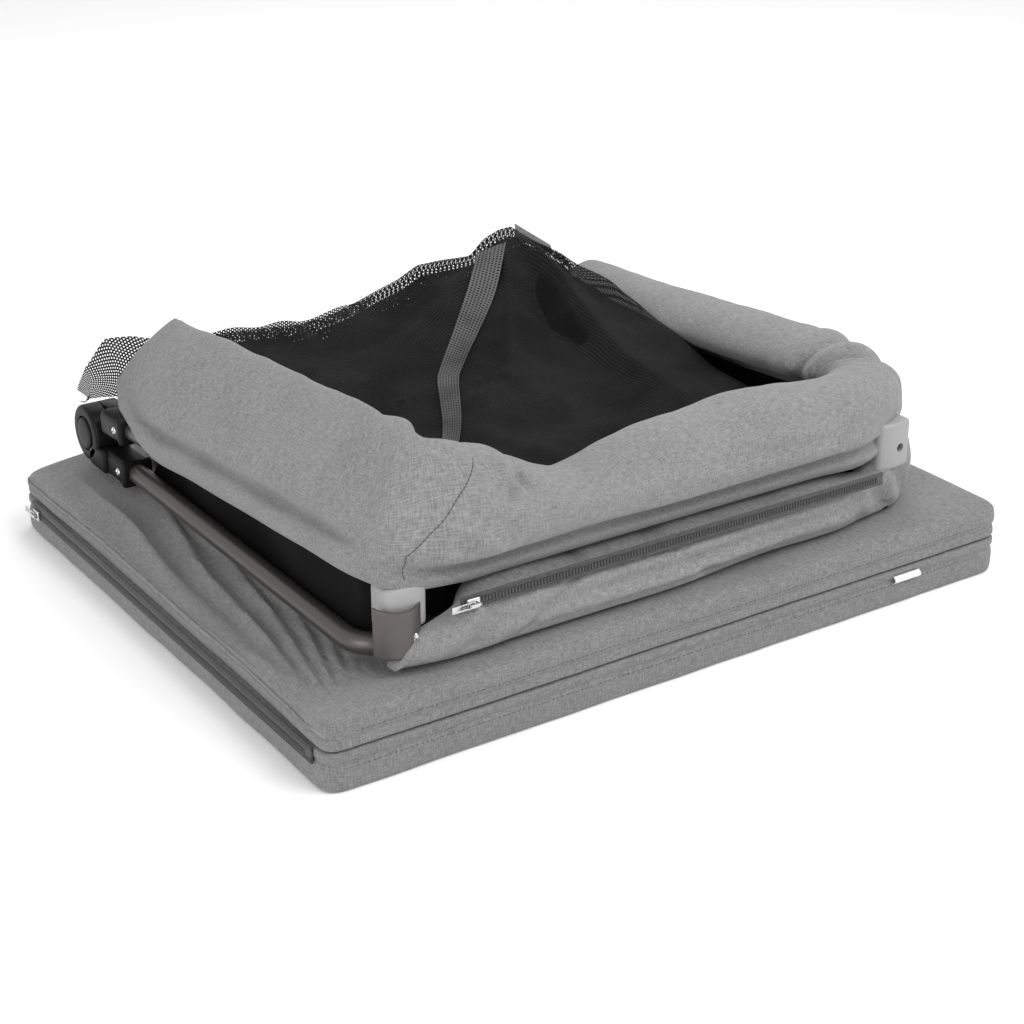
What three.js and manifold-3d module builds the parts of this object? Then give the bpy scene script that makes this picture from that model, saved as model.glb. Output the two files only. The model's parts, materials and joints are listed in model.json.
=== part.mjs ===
// A folding playpen, folded for storage: a rail ring of two hinged U-shaped halves with a padded
// collar, a mesh basket and a base cloth, lying on its folded mattress.
// Millimetres, +Z up, the front is -Y, the origin is under the middle of the mattress.
import * as THREE from "three";
import { mergeVertices } from "three/addons/utils/BufferGeometryUtils.js";
import Module from "manifold-3d";

const wasm = await Module();
wasm.setup();
const { Manifold, Mesh: SolidMesh } = wasm;

// Mattress, folded in half
const MATTRESS_WIDTH = 600;
const MATTRESS_DEPTH = 505;
const PANEL_HEIGHT = 28;
const PANEL_GAP = 3;
const PANEL_ROUND = 9;
const PANEL_CORNER = 26;
const COVER_WALL = 2;
const SLAB_TOP = 2 * PANEL_HEIGHT + PANEL_GAP;

// Rails
const RAIL_RADIUS = 8;
const RAIL_WALL = 1.4;
const RAIL_X = 245;
const RAIL_FRONT_Y = -207.5;
const BEND_RADIUS = 24;
const LOWER_RAIL_Z = 71;
const UPPER_RAIL_Z = 101;

// Fold joints, half-way along the two long sides of the ring
const FOLD_Y = 207.5;
const FOLD_Z = (LOWER_RAIL_Z + UPPER_RAIL_Z) / 2;
const REST_TILT = (4.8 * Math.PI) / 180;
const DISC_RADIUS = 23;
const DISC_OUTER_X = 260;
const DISC_SPLIT_X = 245.4;
const DISC_GAP = 0.5;
const DISC_INNER_X = 230;
const SOCKET_START = 24.5;
const SOCKET_END = 66;
const SOCKET_WALL = 2.5;
const SOCKET_HALF_WIDTH = 12;
const PIVOT_RADIUS = 4;
const PIVOT_CLEARANCE = 0.08;
const BUTTON_RADIUS = 7.2;
const BUTTON_TRAVEL = 2.5;
const SOCKET_BORE_CLEARANCE = 0.4;
const BLOCK_BORE_CLEARANCE = 0.8;

// Corner fittings of the lower half
const CORNER_X = 209;
const CORNER_WIDTH = 30;
const GAP = 0.3;

// Collar, a padded band round the upper rails. Offsets from the rail's centre: [inwards, up]
const COLLAR_BORE = RAIL_RADIUS + 1;
const COLLAR_LEFT = [
  [-16, -20], [-17.5, 0], [-15, 22], [-2, 48], [20, 72], [42, 87], [53, 84],
  [50, 71], [33, 50], [19, 28], [14, 8], [12, -20],
];
const COLLAR_RIGHT = [
  [-16, -20], [-17.5, 0], [-13, 24], [0, 41], [22, 52], [50, 57], [67, 51],
  [64, 39], [42, 34], [22, 24], [14, 6], [12, -20],
];
const COLLAR_FRONT = [
  [-20, -22], [-25, 0], [-25, 25], [-18, 47], [-3, 63], [14, 69], [30, 62],
  [37, 45], [35, 22], [24, 4], [16, -22],
];
const COLLAR_SIDE_FRONT_Y = -164;
const COLLAR_SIDE_BACK_Y = 172;
const COLLAR_FRONT_HALF = 262;

// Grey band round the lower front rail, with its zip
const BAND_HALF = 190;
const BAND_SECTION = [
  [-21, -11.2], [-25, -2], [-24, 12], [-16, 24], [-2, 27], [12, 24], [20, 12], [21, -2], [16, -11.2],
];

// Zips
const ZIP_TAPE = 1.4;
const FRONT_ZIP_LENGTH = 372;
const FRONT_ZIP_Z = 99;
const MATTRESS_ZIP_LENGTH = 455;
const MATTRESS_ZIP_Z = 22.5;

const group = new THREE.Group();

const COLOURS = {
  heather: ["#a3a3a3", 0.9, 0],
  heather_dark: ["#8d8d8d", 0.92, 0],
  foam: ["#e6dfc9", 0.95, 0],
  tape: ["#5b5b5b", 0.85, 0],
  label: ["#f4f4f2", 0.8, 0],
  rail: ["#7d7878", 0.38, 0.7],
  plate: ["#6a6666", 0.42, 0.5],
  pale: ["#a6a6a6", 0.45, 0.1],
  black: ["#262626", 0.5, 0],
  net: ["#1e1e1e", 0.9, 0],
  steel: ["#c9c9c9", 0.25, 1],
};

function add(name, geometry, look) {
  const [colour, roughness, metalness] = COLOURS[look];
  const mesh = new THREE.Mesh(
    geometry,
    new THREE.MeshStandardMaterial({ color: new THREE.Color(colour), roughness, metalness }),
  );
  mesh.name = name;
  group.add(mesh);
  return mesh;
}

// Solid arithmetic
function toSolid(geometry) {
  let g = geometry.clone();
  g.deleteAttribute("normal");
  g.deleteAttribute("uv");
  g = mergeVertices(g, 1e-4);
  const solid = new SolidMesh({
    numProp: 3,
    vertProperties: new Float32Array(g.attributes.position.array),
    triVerts: new Uint32Array(g.index.array),
  });
  solid.merge();
  return new Manifold(solid);
}

function toGeometry(solid) {
  const m = solid.getMesh();
  const g = new THREE.BufferGeometry();
  const points = new Float32Array(m.numVert * 3);
  for (let i = 0; i < m.numVert; i++) {
    for (let k = 0; k < 3; k++) {
      points[3 * i + k] = m.vertProperties[m.numProp * i + k];
    }
  }
  g.setAttribute("position", new THREE.BufferAttribute(points, 3));
  g.setIndex(new THREE.BufferAttribute(new Uint32Array(m.triVerts), 1));
  g.computeVertexNormals();
  return g;
}

function subtract(base, ...cuts) {
  let solid = toSolid(base);
  for (const cut of cuts) {
    solid = solid.subtract(toSolid(cut));
  }
  return toGeometry(solid);
}

function unite(base, ...others) {
  let solid = toSolid(base);
  for (const other of others) {
    solid = solid.add(toSolid(other));
  }
  return toGeometry(solid);
}

// A box between two corners
function box(low, high) {
  const size = high.map((v, i) => v - low[i]);
  const g = new THREE.BoxGeometry(...size);
  g.translate(...low.map((v, i) => v + size[i] / 2));
  return g;
}

// A cylinder along an axis, from one coordinate to another
function rod(axis, from, to, centre, radius, sides = 32) {
  const g = new THREE.CylinderGeometry(radius, radius, Math.abs(to - from), sides);
  const middle = (from + to) / 2;
  if (axis === "x") {
    g.rotateZ(Math.PI / 2);
    g.translate(middle, centre[0], centre[1]);
  } else if (axis === "y") {
    g.translate(centre[0], middle, centre[1]);
  } else {
    g.rotateX(Math.PI / 2);
    g.translate(centre[0], centre[1], middle);
  }
  return g;
}

// A solid through a row of rings with equal point counts, with flat ends
function loft(rings) {
  const n = rings[0].length;
  const points = rings.flat(2);
  const faces = [];
  for (let k = 0; k + 1 < rings.length; k++) {
    for (let i = 0; i < n; i++) {
      const a = k * n + i;
      const b = k * n + ((i + 1) % n);
      faces.push(a, b, b + n, a, b + n, a + n);
    }
  }
  const ends = [
    [0, true],
    [rings.length - 1, false],
  ];
  for (const [k, flip] of ends) {
    const ring = rings[k];
    const centre = [0, 1, 2].map((c) => ring.reduce((s, p) => s + p[c], 0) / n);
    points.push(...centre);
    const hub = points.length / 3 - 1;
    for (let i = 0; i < n; i++) {
      const a = k * n + i;
      const b = k * n + ((i + 1) % n);
      faces.push(...(flip ? [hub, b, a] : [hub, a, b]));
    }
  }
  const g = new THREE.BufferGeometry();
  g.setAttribute("position", new THREE.BufferAttribute(new Float32Array(points), 3));
  g.setIndex(faces);
  const solid = toSolid(g);
  if (solid.volume() < 0) {
    const turned = [];
    for (let i = 0; i < faces.length; i += 3) {
      turned.push(faces[i], faces[i + 2], faces[i + 1]);
    }
    g.setIndex(turned);
  }
  g.computeVertexNormals();
  return g;
}

// A round bar that follows a path lying in a horizontal plane
function bar(path, radius, sides = 16) {
  const up = new THREE.Vector3(0, 0, 1);
  const rings = path.map((p, k) => {
    const before = path[Math.max(k - 1, 0)];
    const after = path[Math.min(k + 1, path.length - 1)];
    const along = after.clone().sub(before).normalize();
    const side = along.clone().cross(up).normalize();
    const ring = [];
    for (let i = 0; i < sides; i++) {
      const t = (2 * Math.PI * i) / sides;
      const q = p.clone().addScaledVector(side, radius * Math.cos(t)).addScaledVector(up, radius * Math.sin(t));
      ring.push([q.x, q.y, q.z]);
    }
    return ring;
  });
  return loft(rings);
}

function extended(path, extra) {
  const first = path[0].clone().sub(path[1]).setLength(extra).add(path[0]);
  const n = path.length;
  const last = path[n - 1].clone().sub(path[n - 2]).setLength(extra).add(path[n - 1]);
  return [first, ...path, last];
}

function pipe(path) {
  return subtract(bar(path, RAIL_RADIUS), bar(extended(path, 2), RAIL_RADIUS - RAIL_WALL));
}

// Side rail: from inside its fold joint forwards, round the corner, and a little way along the front
function sidePath(side, z, endX) {
  const path = [new THREE.Vector3(side * RAIL_X, FOLD_Y - SOCKET_START - 6, z)];
  const cx = RAIL_X - BEND_RADIUS;
  const cy = RAIL_FRONT_Y + BEND_RADIUS;
  const steps = 5;
  for (let i = 0; i <= steps; i++) {
    const t = (Math.PI / 2) * (i / steps);
    path.push(new THREE.Vector3(side * (cx + BEND_RADIUS * Math.cos(t)), cy - BEND_RADIUS * Math.sin(t), z));
  }
  path.push(new THREE.Vector3(side * endX, RAIL_FRONT_Y, z));
  return path;
}

function frontPath(half, z) {
  return [new THREE.Vector3(-half, RAIL_FRONT_Y, z), new THREE.Vector3(half, RAIL_FRONT_Y, z)];
}

// A closed smooth outline through a few points, flat along its bottom
function outline(points, count) {
  const lowest = Math.min(...points.map(([, b]) => b));
  const curve = new THREE.CatmullRomCurve3(
    points.map(([a, b]) => new THREE.Vector3(a, b, 0)),
    true,
    "centripetal",
  );
  return curve
    .getSpacedPoints(count)
    .slice(0, count)
    .map((p) => [p.x, Math.max(p.y, lowest)]);
}

// A padded band along Y or X round a rail; stations are [place along, height share]
function paddedBand(section, stations, along, side, railZ, count = 24) {
  const shape = outline(section, count);
  const rings = stations.map(([s, share]) =>
    shape.map(([inwards, up]) => {
      const h = up > 0 ? up * share : up;
      const w = inwards > 14 ? 14 + (inwards - 14) * share : inwards;
      return along === "y"
        ? [side * (RAIL_X - w), s, railZ + h]
        : [s, RAIL_FRONT_Y + w, railZ + h];
    }),
  );
  return loft(rings);
}

// Everything on the upper half is drawn level, then tilted about the fold joints
function tilt(geometry) {
  geometry.translate(0, -FOLD_Y, -FOLD_Z);
  geometry.rotateX(-REST_TILT);
  geometry.translate(0, FOLD_Y, FOLD_Z);
  return geometry;
}

function screw(side, y, z, headX, bodyDepth) {
  const head = rod("x", side * headX, side * (headX + 1.8), [y, z], 3.4, 12);
  const shank = rod("x", side * (headX - bodyDepth), side * (headX + 0.2), [y, z], 1.5, 8);
  return unite(head, shank);
}

function screwFront(x, z, headY, bodyDepth) {
  const head = rod("y", headY - 1.8, headY, [x, z], 3.2, 12);
  const shank = rod("y", headY - 0.2, headY + bodyDepth, [x, z], 1.5, 8);
  return unite(head, shank);
}

// Mattress panels: a zipped cover round a block of foam
function panelBlock(inset, z0, z1, round) {
  const w = MATTRESS_WIDTH / 2 - inset - round;
  const d = MATTRESS_DEPTH / 2 - inset - round;
  const corner = Math.max(PANEL_CORNER - inset - round, 2);
  const s = new THREE.Shape();
  s.moveTo(-w + corner, -d);
  s.lineTo(w - corner, -d);
  s.absarc(w - corner, -d + corner, corner, -Math.PI / 2, 0, false);
  s.lineTo(w, d - corner);
  s.absarc(w - corner, d - corner, corner, 0, Math.PI / 2, false);
  s.lineTo(-w + corner, d);
  s.absarc(-w + corner, d - corner, corner, Math.PI / 2, Math.PI, false);
  s.lineTo(-w, -d + corner);
  s.absarc(-w + corner, -d + corner, corner, Math.PI, 1.5 * Math.PI, false);
  const g = new THREE.ExtrudeGeometry(s, {
    depth: z1 - z0 - 2 * round,
    bevelEnabled: true,
    bevelThickness: round,
    bevelSize: round,
    bevelSegments: 2,
    curveSegments: 4,
  });
  g.translate(0, 0, z0 + round);
  return g;
}

function mattressPanel(name, z0, look) {
  const z1 = z0 + PANEL_HEIGHT;
  const slot = z0 < 1 ? [MATTRESS_ZIP_Z - 1, MATTRESS_ZIP_Z + 1] : [z0 + 5, z0 + 7];
  const slit = box(
    [-MATTRESS_WIDTH / 2 - 5, -MATTRESS_ZIP_LENGTH / 2, slot[0]],
    [-MATTRESS_WIDTH / 2 + 12, MATTRESS_ZIP_LENGTH / 2 - 5, slot[1]],
  );
  const inner = panelBlock(COVER_WALL, z0 + COVER_WALL, z1 - COVER_WALL, PANEL_ROUND - COVER_WALL);
  add(`${name}_cover`, subtract(panelBlock(0, z0, z1, PANEL_ROUND), inner, slit), look);
  const gap = COVER_WALL + 0.4;
  add(`${name}_foam`, toGeometry(toSolid(panelBlock(gap, z0 + gap, z1 - gap, PANEL_ROUND - gap))), "foam");
}

mattressPanel("mattress_bottom", 0, "heather_dark");
mattressPanel("mattress_top", PANEL_HEIGHT + PANEL_GAP, "heather_dark");

const leftFace = -MATTRESS_WIDTH / 2;
add(
  "mattress_zip_tape",
  box(
    [leftFace - GAP - ZIP_TAPE, -MATTRESS_ZIP_LENGTH / 2 - 8, MATTRESS_ZIP_Z - 5],
    [leftFace - GAP, MATTRESS_ZIP_LENGTH / 2, MATTRESS_ZIP_Z + 5],
  ),
  "tape",
);
add("care_label", box([196, -MATTRESS_DEPTH / 2 - 1.3, 12], [222, -MATTRESS_DEPTH / 2 - GAP, 22]), "label");

// Zip slider and pull, drawn with the tape along X and facing +Z, then placed by a matrix
function zipSlider() {
  const body = box([-5, -4, 0], [5, 4, 3.2]);
  const archFeet = [box([-4.6, -1.2, 2], [-3.2, 1.2, 6]), box([3.2, -1.2, 2], [4.6, 1.2, 6])];
  const archTop = box([-4.6, -1.2, 4.8], [4.6, 1.2, 6]);
  return unite(body, ...archFeet, archTop);
}

function zipPull() {
  const plate = box([-24, -3.2, 3.5], [0.5, 3.2, 4.5]);
  const eye = box([-7.6, -1.8, 3], [-0.5, 1.8, 5]);
  return subtract(plate, eye);
}

function place(geometry, origin, x, y, z) {
  const m = new THREE.Matrix4().makeBasis(
    new THREE.Vector3(...x),
    new THREE.Vector3(...y),
    new THREE.Vector3(...z),
  );
  m.setPosition(...origin);
  geometry.applyMatrix4(m);
  return geometry;
}

const mattressZip = [leftFace - 2 * GAP - ZIP_TAPE, MATTRESS_ZIP_LENGTH / 2 - 12, MATTRESS_ZIP_Z];
add("mattress_zip_slider", place(zipSlider(), mattressZip, [0, -1, 0], [0, 0, 1], [-1, 0, 0]), "steel");
add("mattress_zip_pull", place(zipPull(), mattressZip, [0, -1, 0], [0, 0, 1], [-1, 0, 0]), "steel");

// Lower rails and corner fittings
const endInBlock = CORNER_X + 2;
for (const [side, word] of [
  [-1, "left"],
  [1, "right"],
]) {
  add(`lower_${word}_rail`, pipe(sidePath(side, LOWER_RAIL_Z, endInBlock)), "rail");
  const bore = RAIL_RADIUS + BLOCK_BORE_CLEARANCE;
  const x0 = CORNER_X - CORNER_WIDTH / 2;
  const x1 = CORNER_X + CORNER_WIDTH / 2;
  const front = RAIL_FRONT_Y - 14.5;
  const boxX = [side * x0, side * x1].sort((a, b) => a - b);
  const plateHoles = [];
  const bodyHoles = [];
  const screws = [
    [side * (CORNER_X - 8), LOWER_RAIL_Z - 5],
    [side * (CORNER_X + 8), LOWER_RAIL_Z + 10],
  ];
  for (const [x, z] of screws) {
    plateHoles.push(rod("y", front - 9, front + 3, [x, z], 1.9, 8));
    bodyHoles.push(rod("y", front - 9, front + 3.2, [x, z], 1.9, 8));
  }
  const body = box([boxX[0], front, 60.5], [boxX[1], RAIL_FRONT_Y + 13, 84]);
  const inner = rod("x", side * (x0 - 1), side * (CORNER_X - 2), [RAIL_FRONT_Y, LOWER_RAIL_Z], bore, 18);
  const outer = rod("x", side * (x1 + 1), side * (CORNER_X + 1), [RAIL_FRONT_Y, LOWER_RAIL_Z], bore, 18);
  add(`lower_${word}_corner_block`, subtract(body, inner, outer, ...bodyHoles), "black");
  // bowed plate in front of the block
  const arc = [];
  const steps = 10;
  for (let i = 0; i <= steps; i++) {
    const u = -1 + (2 * i) / steps;
    arc.push([side * CORNER_X + u * 15, front - GAP - 3 + 2.6 * u * u]);
  }
  const shape = new THREE.Shape();
  shape.moveTo(...arc[0]);
  arc.slice(1).forEach((p) => shape.lineTo(...p));
  [...arc].reverse().forEach(([x, y]) => shape.lineTo(x, y - 1.8));
  const plate = new THREE.ExtrudeGeometry(shape, { depth: 31, bevelEnabled: false });
  plate.translate(0, 0, 61);
  add(`lower_${word}_corner_plate`, subtract(plate, ...plateHoles), "plate");
  add(
    `${word}_corner_latch`,
    box([boxX[0] + 1, front + 1, 84.3], [boxX[1] - 1, RAIL_FRONT_Y + 8, 110]),
    "pale",
  );
  screws.forEach(([x, z], i) => {
    const u = (x - side * CORNER_X) / 15;
    const face = front - GAP - 3 + 2.6 * u * u - 1.8 - GAP - 0.35;
    add(`lower_${word}_corner_screw_${i + 1}`, screwFront(x, z, face, front - face + 2.6), "steel");
  });
}
add("lower_front_rail", pipe(frontPath(CORNER_X - 4, LOWER_RAIL_Z)), "rail");

// Grey bracket with a keyhole notch behind the right corner
const bracketPlate = box([RAIL_X + 10.5, -166, 76], [RAIL_X + 12.7, -132, 98]);
const keyhole = rod("x", RAIL_X + 9, RAIL_X + 14, [-146, 89], 4, 24);
const keySlot = box([RAIL_X + 9, -148.2, 74], [RAIL_X + 14, -143.8, 89]);
add("right_leg_bracket", subtract(bracketPlate, keyhole, keySlot), "pale");

// Upper rails, joined by plugs in the front corners
for (const [side, word] of [
  [-1, "left"],
  [1, "right"],
]) {
  add(`upper_${word}_rail`, tilt(pipe(sidePath(side, UPPER_RAIL_Z, CORNER_X + 0.2))), "rail");
  const plug = rod("x", side * (CORNER_X - 30), side * (CORNER_X + 11), [RAIL_FRONT_Y, UPPER_RAIL_Z], 6.2, 14);
  add(`upper_${word}_corner_plug`, tilt(plug), "steel");
}
add("upper_front_rail", tilt(pipe(frontPath(CORNER_X - 0.2, UPPER_RAIL_Z))), "rail");

// Fold joints
function jointShell(side, half) {
  const z = half === "lower" ? LOWER_RAIL_Z : UPPER_RAIL_Z;
  const disc = half === "lower" ? [DISC_SPLIT_X, DISC_OUTER_X] : [DISC_INNER_X, DISC_SPLIT_X - DISC_GAP];
  const x = disc.map((v) => side * v).sort((a, b) => a - b);
  const arm = [side * (RAIL_X - SOCKET_HALF_WIDTH), side * (RAIL_X + SOCKET_HALF_WIDTH)].sort((a, b) => a - b);
  const r = RAIL_RADIUS + SOCKET_WALL;
  const round = rod("x", x[0], x[1], [FOLD_Y, FOLD_Z], DISC_RADIUS, 32);
  const socket = rod("y", FOLD_Y - SOCKET_END, FOLD_Y - SOCKET_START, [side * RAIL_X, z], SOCKET_HALF_WIDTH, 20);
  const trim = box(
    [arm[0] - 1, FOLD_Y - SOCKET_END - 1, z - r],
    [arm[1] + 1, FOLD_Y - SOCKET_START + 1, z + r],
  );
  const flatSocket = toGeometry(toSolid(socket).intersect(toSolid(trim)));
  const neck = box([x[0], FOLD_Y - SOCKET_START - 6, z - r + 1.5], [x[1], FOLD_Y - 4, z + r - 1.5]);
  const bore = rod(
    "y",
    FOLD_Y - SOCKET_END - 2,
    FOLD_Y - SOCKET_START - 5,
    [side * RAIL_X, z],
    RAIL_RADIUS + SOCKET_BORE_CLEARANCE,
    20,
  );
  const pivot = rod("x", x[0] - 1, x[1] + 1, [FOLD_Y, FOLD_Z], PIVOT_RADIUS + PIVOT_CLEARANCE, 24);
  const screwHole = rod(
    "x",
    side * (RAIL_X + 9.5),
    side * (RAIL_X + 14),
    [FOLD_Y - SOCKET_END + 12, z],
    1.9,
    8,
  );
  const seat = box(
    side > 0
      ? [RAIL_X + 11.2, FOLD_Y - SOCKET_END + 7.6, z - 4.4]
      : [-RAIL_X - 14, FOLD_Y - SOCKET_END + 7.6, z - 4.4],
    side > 0
      ? [RAIL_X + 14, FOLD_Y - SOCKET_END + 16.4, z + 4.4]
      : [-RAIL_X - 11.2, FOLD_Y - SOCKET_END + 16.4, z + 4.4],
  );
  const cuts = [bore, pivot, screwHole, seat];
  if (half === "lower") {
    cuts.push(rod("x", side * (DISC_OUTER_X + 1), side * (DISC_OUTER_X - 10), [FOLD_Y, FOLD_Z], 7.9, 20));
  }
  return subtract(unite(round, flatSocket, neck), ...cuts);
}

for (const [side, word] of [
  [-1, "left"],
  [1, "right"],
]) {
  add(`lower_${word}_joint_shell`, jointShell(side, "lower"), "black");
  add(`upper_${word}_joint_shell`, tilt(jointShell(side, "upper")), "black");
  const pin = rod("x", side * (DISC_OUTER_X - 10.3), side * (DISC_INNER_X - 0.6), [FOLD_Y, FOLD_Z], PIVOT_RADIUS, 24);
  const pinHead = rod("x", side * (DISC_INNER_X - 0.4), side * (DISC_INNER_X - 3), [FOLD_Y, FOLD_Z], 7, 16);
  add(`${word}_pivot_pin`, unite(pin, pinHead), "steel");
  const washer = subtract(
    rod("x", side * (DISC_OUTER_X - 9.7), side * (DISC_OUTER_X - 8.6), [FOLD_Y, FOLD_Z], 6.4, 16),
    rod("x", side * (DISC_OUTER_X - 12), side * (DISC_OUTER_X - 6), [FOLD_Y, FOLD_Z], 4.4, 16),
  );
  add(`${word}_button_spring`, washer, "steel");
  const button = rod(
    "x",
    side * (DISC_OUTER_X - 8.6 + BUTTON_TRAVEL + 0.4),
    side * (DISC_OUTER_X + 2.8),
    [FOLD_Y, FOLD_Z],
    BUTTON_RADIUS,
    20,
  );
  add(`${word}_release_button`, button, "black");
  const screwY = FOLD_Y - SOCKET_END + 12;
  add(`lower_${word}_joint_screw`, screw(side, screwY, LOWER_RAIL_Z, RAIL_X + 11.5, 1.9), "steel");
  add(`upper_${word}_joint_screw`, tilt(screw(side, screwY, UPPER_RAIL_Z, RAIL_X + 11.5, 1.9)), "steel");
}

// Collar: left and right side bands and a thicker roll across the front
const sideStations = [
  [COLLAR_SIDE_FRONT_Y, 1.08],
  [-110, 1.02],
  [-40, 1],
  [40, 1],
  [100, 0.98],
  [140, 0.86],
  [COLLAR_SIDE_BACK_Y - 6, 0.66],
  [COLLAR_SIDE_BACK_Y, 0.5],
];
for (const [side, word, section] of [
  [-1, "left", COLLAR_LEFT],
  [1, "right", COLLAR_RIGHT],
]) {
  const solid = paddedBand(section, sideStations, "y", side, UPPER_RAIL_Z);
  const bore = bar(extended(sidePath(side, UPPER_RAIL_Z, CORNER_X), 20), COLLAR_BORE);
  const x = [side * (RAIL_X - 100), side * (RAIL_X + 30)].sort((a, b) => a - b);
  const shellGap = box([x[0], FOLD_Y - SOCKET_END - 2, 60], [x[1], FOLD_Y, UPPER_RAIL_Z + 13.2]);
  add(`collar_${word}`, tilt(subtract(solid, bore, shellGap)), "heather");
}
const frontStations = [
  [-COLLAR_FRONT_HALF, 0.95],
  [-COLLAR_FRONT_HALF + 7, 1.12],
  [-190, 1.02],
  [-120, 0.64],
  [-75, 0.58],
  [0, 0.62],
  [150, 0.72],
  [220, 0.78],
  [COLLAR_FRONT_HALF - 7, 0.72],
  [COLLAR_FRONT_HALF, 0.55],
];
const cornerPaths = [-1, 1].map((side) => {
  const path = sidePath(side, UPPER_RAIL_Z, CORNER_X - 60);
  return bar(path, COLLAR_BORE);
});
const frontBore = rod("x", -CORNER_X, CORNER_X, [RAIL_FRONT_Y, UPPER_RAIL_Z], COLLAR_BORE, 16);
add(
  "collar_front",
  tilt(
    subtract(
      paddedBand(COLLAR_FRONT, frontStations, "x", 1, UPPER_RAIL_Z),
      ...cornerPaths,
      frontBore,
    ),
  ),
  "heather",
);

// Band on the lower front rail with its zip
const bandStations = [
  [-BAND_HALF, 0.6],
  [-BAND_HALF + 8, 0.9],
  [-120, 0.95],
  [-60, 0.85],
  [0, 0.95],
  [BAND_HALF - 20, 1],
  [BAND_HALF, 0.85],
];
const bandBore = bar(extended(frontPath(CORNER_X, LOWER_RAIL_Z), 5), COLLAR_BORE);
add(
  "lower_front_band",
  subtract(paddedBand(BAND_SECTION, bandStations, "x", 1, LOWER_RAIL_Z), bandBore),
  "heather",
);
const zipFace = RAIL_FRONT_Y - 25.8;
add(
  "front_zip_tape",
  box(
    [-FRONT_ZIP_LENGTH / 2, zipFace - ZIP_TAPE, FRONT_ZIP_Z - 5],
    [FRONT_ZIP_LENGTH / 2, zipFace, FRONT_ZIP_Z + 5],
  ),
  "tape",
);
const frontZip = [-FRONT_ZIP_LENGTH / 2 + 8, zipFace - ZIP_TAPE - GAP, FRONT_ZIP_Z];
add("front_zip_slider", place(zipSlider(), frontZip, [1, 0, 0], [0, 0, 1], [0, -1, 0]), "steel");
add("front_zip_pull", place(zipPull(), frontZip, [1, 0, 0], [0, 0, 1], [0, -1, 0]), "steel");

// Base cloth, and the mesh basket gathered in two heaps: one held by each half of the ring
add("base_cloth", box([-215, -170, 60.4], [215, 195, 63]), "net");
function heap(name, points, stations, floorZ) {
  const shape = outline(points, 30);
  const rings = stations.map(([y, share]) => shape.map(([x, z]) => [x, y, floorZ + (z - floorZ) * share]));
  add(name, loft(rings), "net");
}
heap(
  "net_lower",
  [[-190, 64], [-196, 80], [-170, 94], [-60, 98], [80, 97], [165, 94], [182, 80], [178, 64]],
  [
    [-165, 0.5],
    [-150, 0.9],
    [0, 1],
    [185, 1],
    [196, 0.7],
  ],
  64,
);
heap(
  "net_upper",
  [[-165, 103], [-172, 115], [-150, 134], [-100, 142], [-40, 150], [20, 168], [60, 190],
    [98, 200], [122, 172], [150, 132], [170, 114], [165, 103]],
  [
    [-140, 0.25],
    [-125, 0.4],
    [-40, 0.6],
    [60, 0.85],
    [130, 1],
    [190, 1],
    [200, 0.85],
  ],
  103,
);

export default group;
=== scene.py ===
import json
import math

import bpy
import numpy as np
from mathutils import Matrix, Vector, noise
from mathutils.bvhtree import BVHTree


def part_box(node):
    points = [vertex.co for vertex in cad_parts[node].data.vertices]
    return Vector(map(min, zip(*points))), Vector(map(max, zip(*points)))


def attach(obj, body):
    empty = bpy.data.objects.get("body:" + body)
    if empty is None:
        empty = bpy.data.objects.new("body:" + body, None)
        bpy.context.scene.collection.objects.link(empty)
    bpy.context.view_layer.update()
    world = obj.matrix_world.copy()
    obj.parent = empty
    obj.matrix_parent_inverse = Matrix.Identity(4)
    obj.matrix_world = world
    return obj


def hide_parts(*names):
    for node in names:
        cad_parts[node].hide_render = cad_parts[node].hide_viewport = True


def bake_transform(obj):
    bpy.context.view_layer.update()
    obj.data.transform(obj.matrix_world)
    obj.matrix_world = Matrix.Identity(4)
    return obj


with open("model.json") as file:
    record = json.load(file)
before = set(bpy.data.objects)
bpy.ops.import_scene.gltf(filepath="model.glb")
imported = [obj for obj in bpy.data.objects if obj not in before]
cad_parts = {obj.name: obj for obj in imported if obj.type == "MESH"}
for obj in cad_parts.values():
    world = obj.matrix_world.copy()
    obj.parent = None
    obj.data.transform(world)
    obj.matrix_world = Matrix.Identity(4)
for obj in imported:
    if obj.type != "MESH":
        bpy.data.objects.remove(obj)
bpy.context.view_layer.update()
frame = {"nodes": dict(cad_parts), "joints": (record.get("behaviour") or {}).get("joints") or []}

# Camera, light and floor.
# A long lens from the front left, above the object; soft daylight from all round, one large lamp
# above the front right, weak ones behind and low on the left, and a plain white floor.
scene = bpy.context.scene
scene.view_settings.view_transform = "Standard"
camera_data = bpy.data.cameras.new("camera")
camera_data.sensor_width = 36.0
camera_data.lens = 73.8
camera = bpy.data.objects.new("camera", camera_data)
scene.collection.objects.link(camera)
camera.location = (-0.839, -1.270, 0.7255)
camera.rotation_euler = (math.radians(65.43), 0.0, math.radians(-33.8))
scene.camera = camera

world = bpy.data.worlds.new("daylight")
scene.world = world
world.use_nodes = True
world.node_tree.nodes["Background"].inputs["Color"].default_value = (1.0, 1.0, 1.0, 1.0)
world.node_tree.nodes["Background"].inputs["Strength"].default_value = 0.84


def soft_lamp(name, place, target, size, power):
    data = bpy.data.lights.new(name, "AREA")
    data.shape = "DISK"
    data.size = size
    data.energy = power
    lamp = bpy.data.objects.new(name, data)
    scene.collection.objects.link(lamp)
    lamp.location = place
    lamp.rotation_euler = (Vector(target) - Vector(place)).to_track_quat("-Z", "Y").to_euler()


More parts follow.
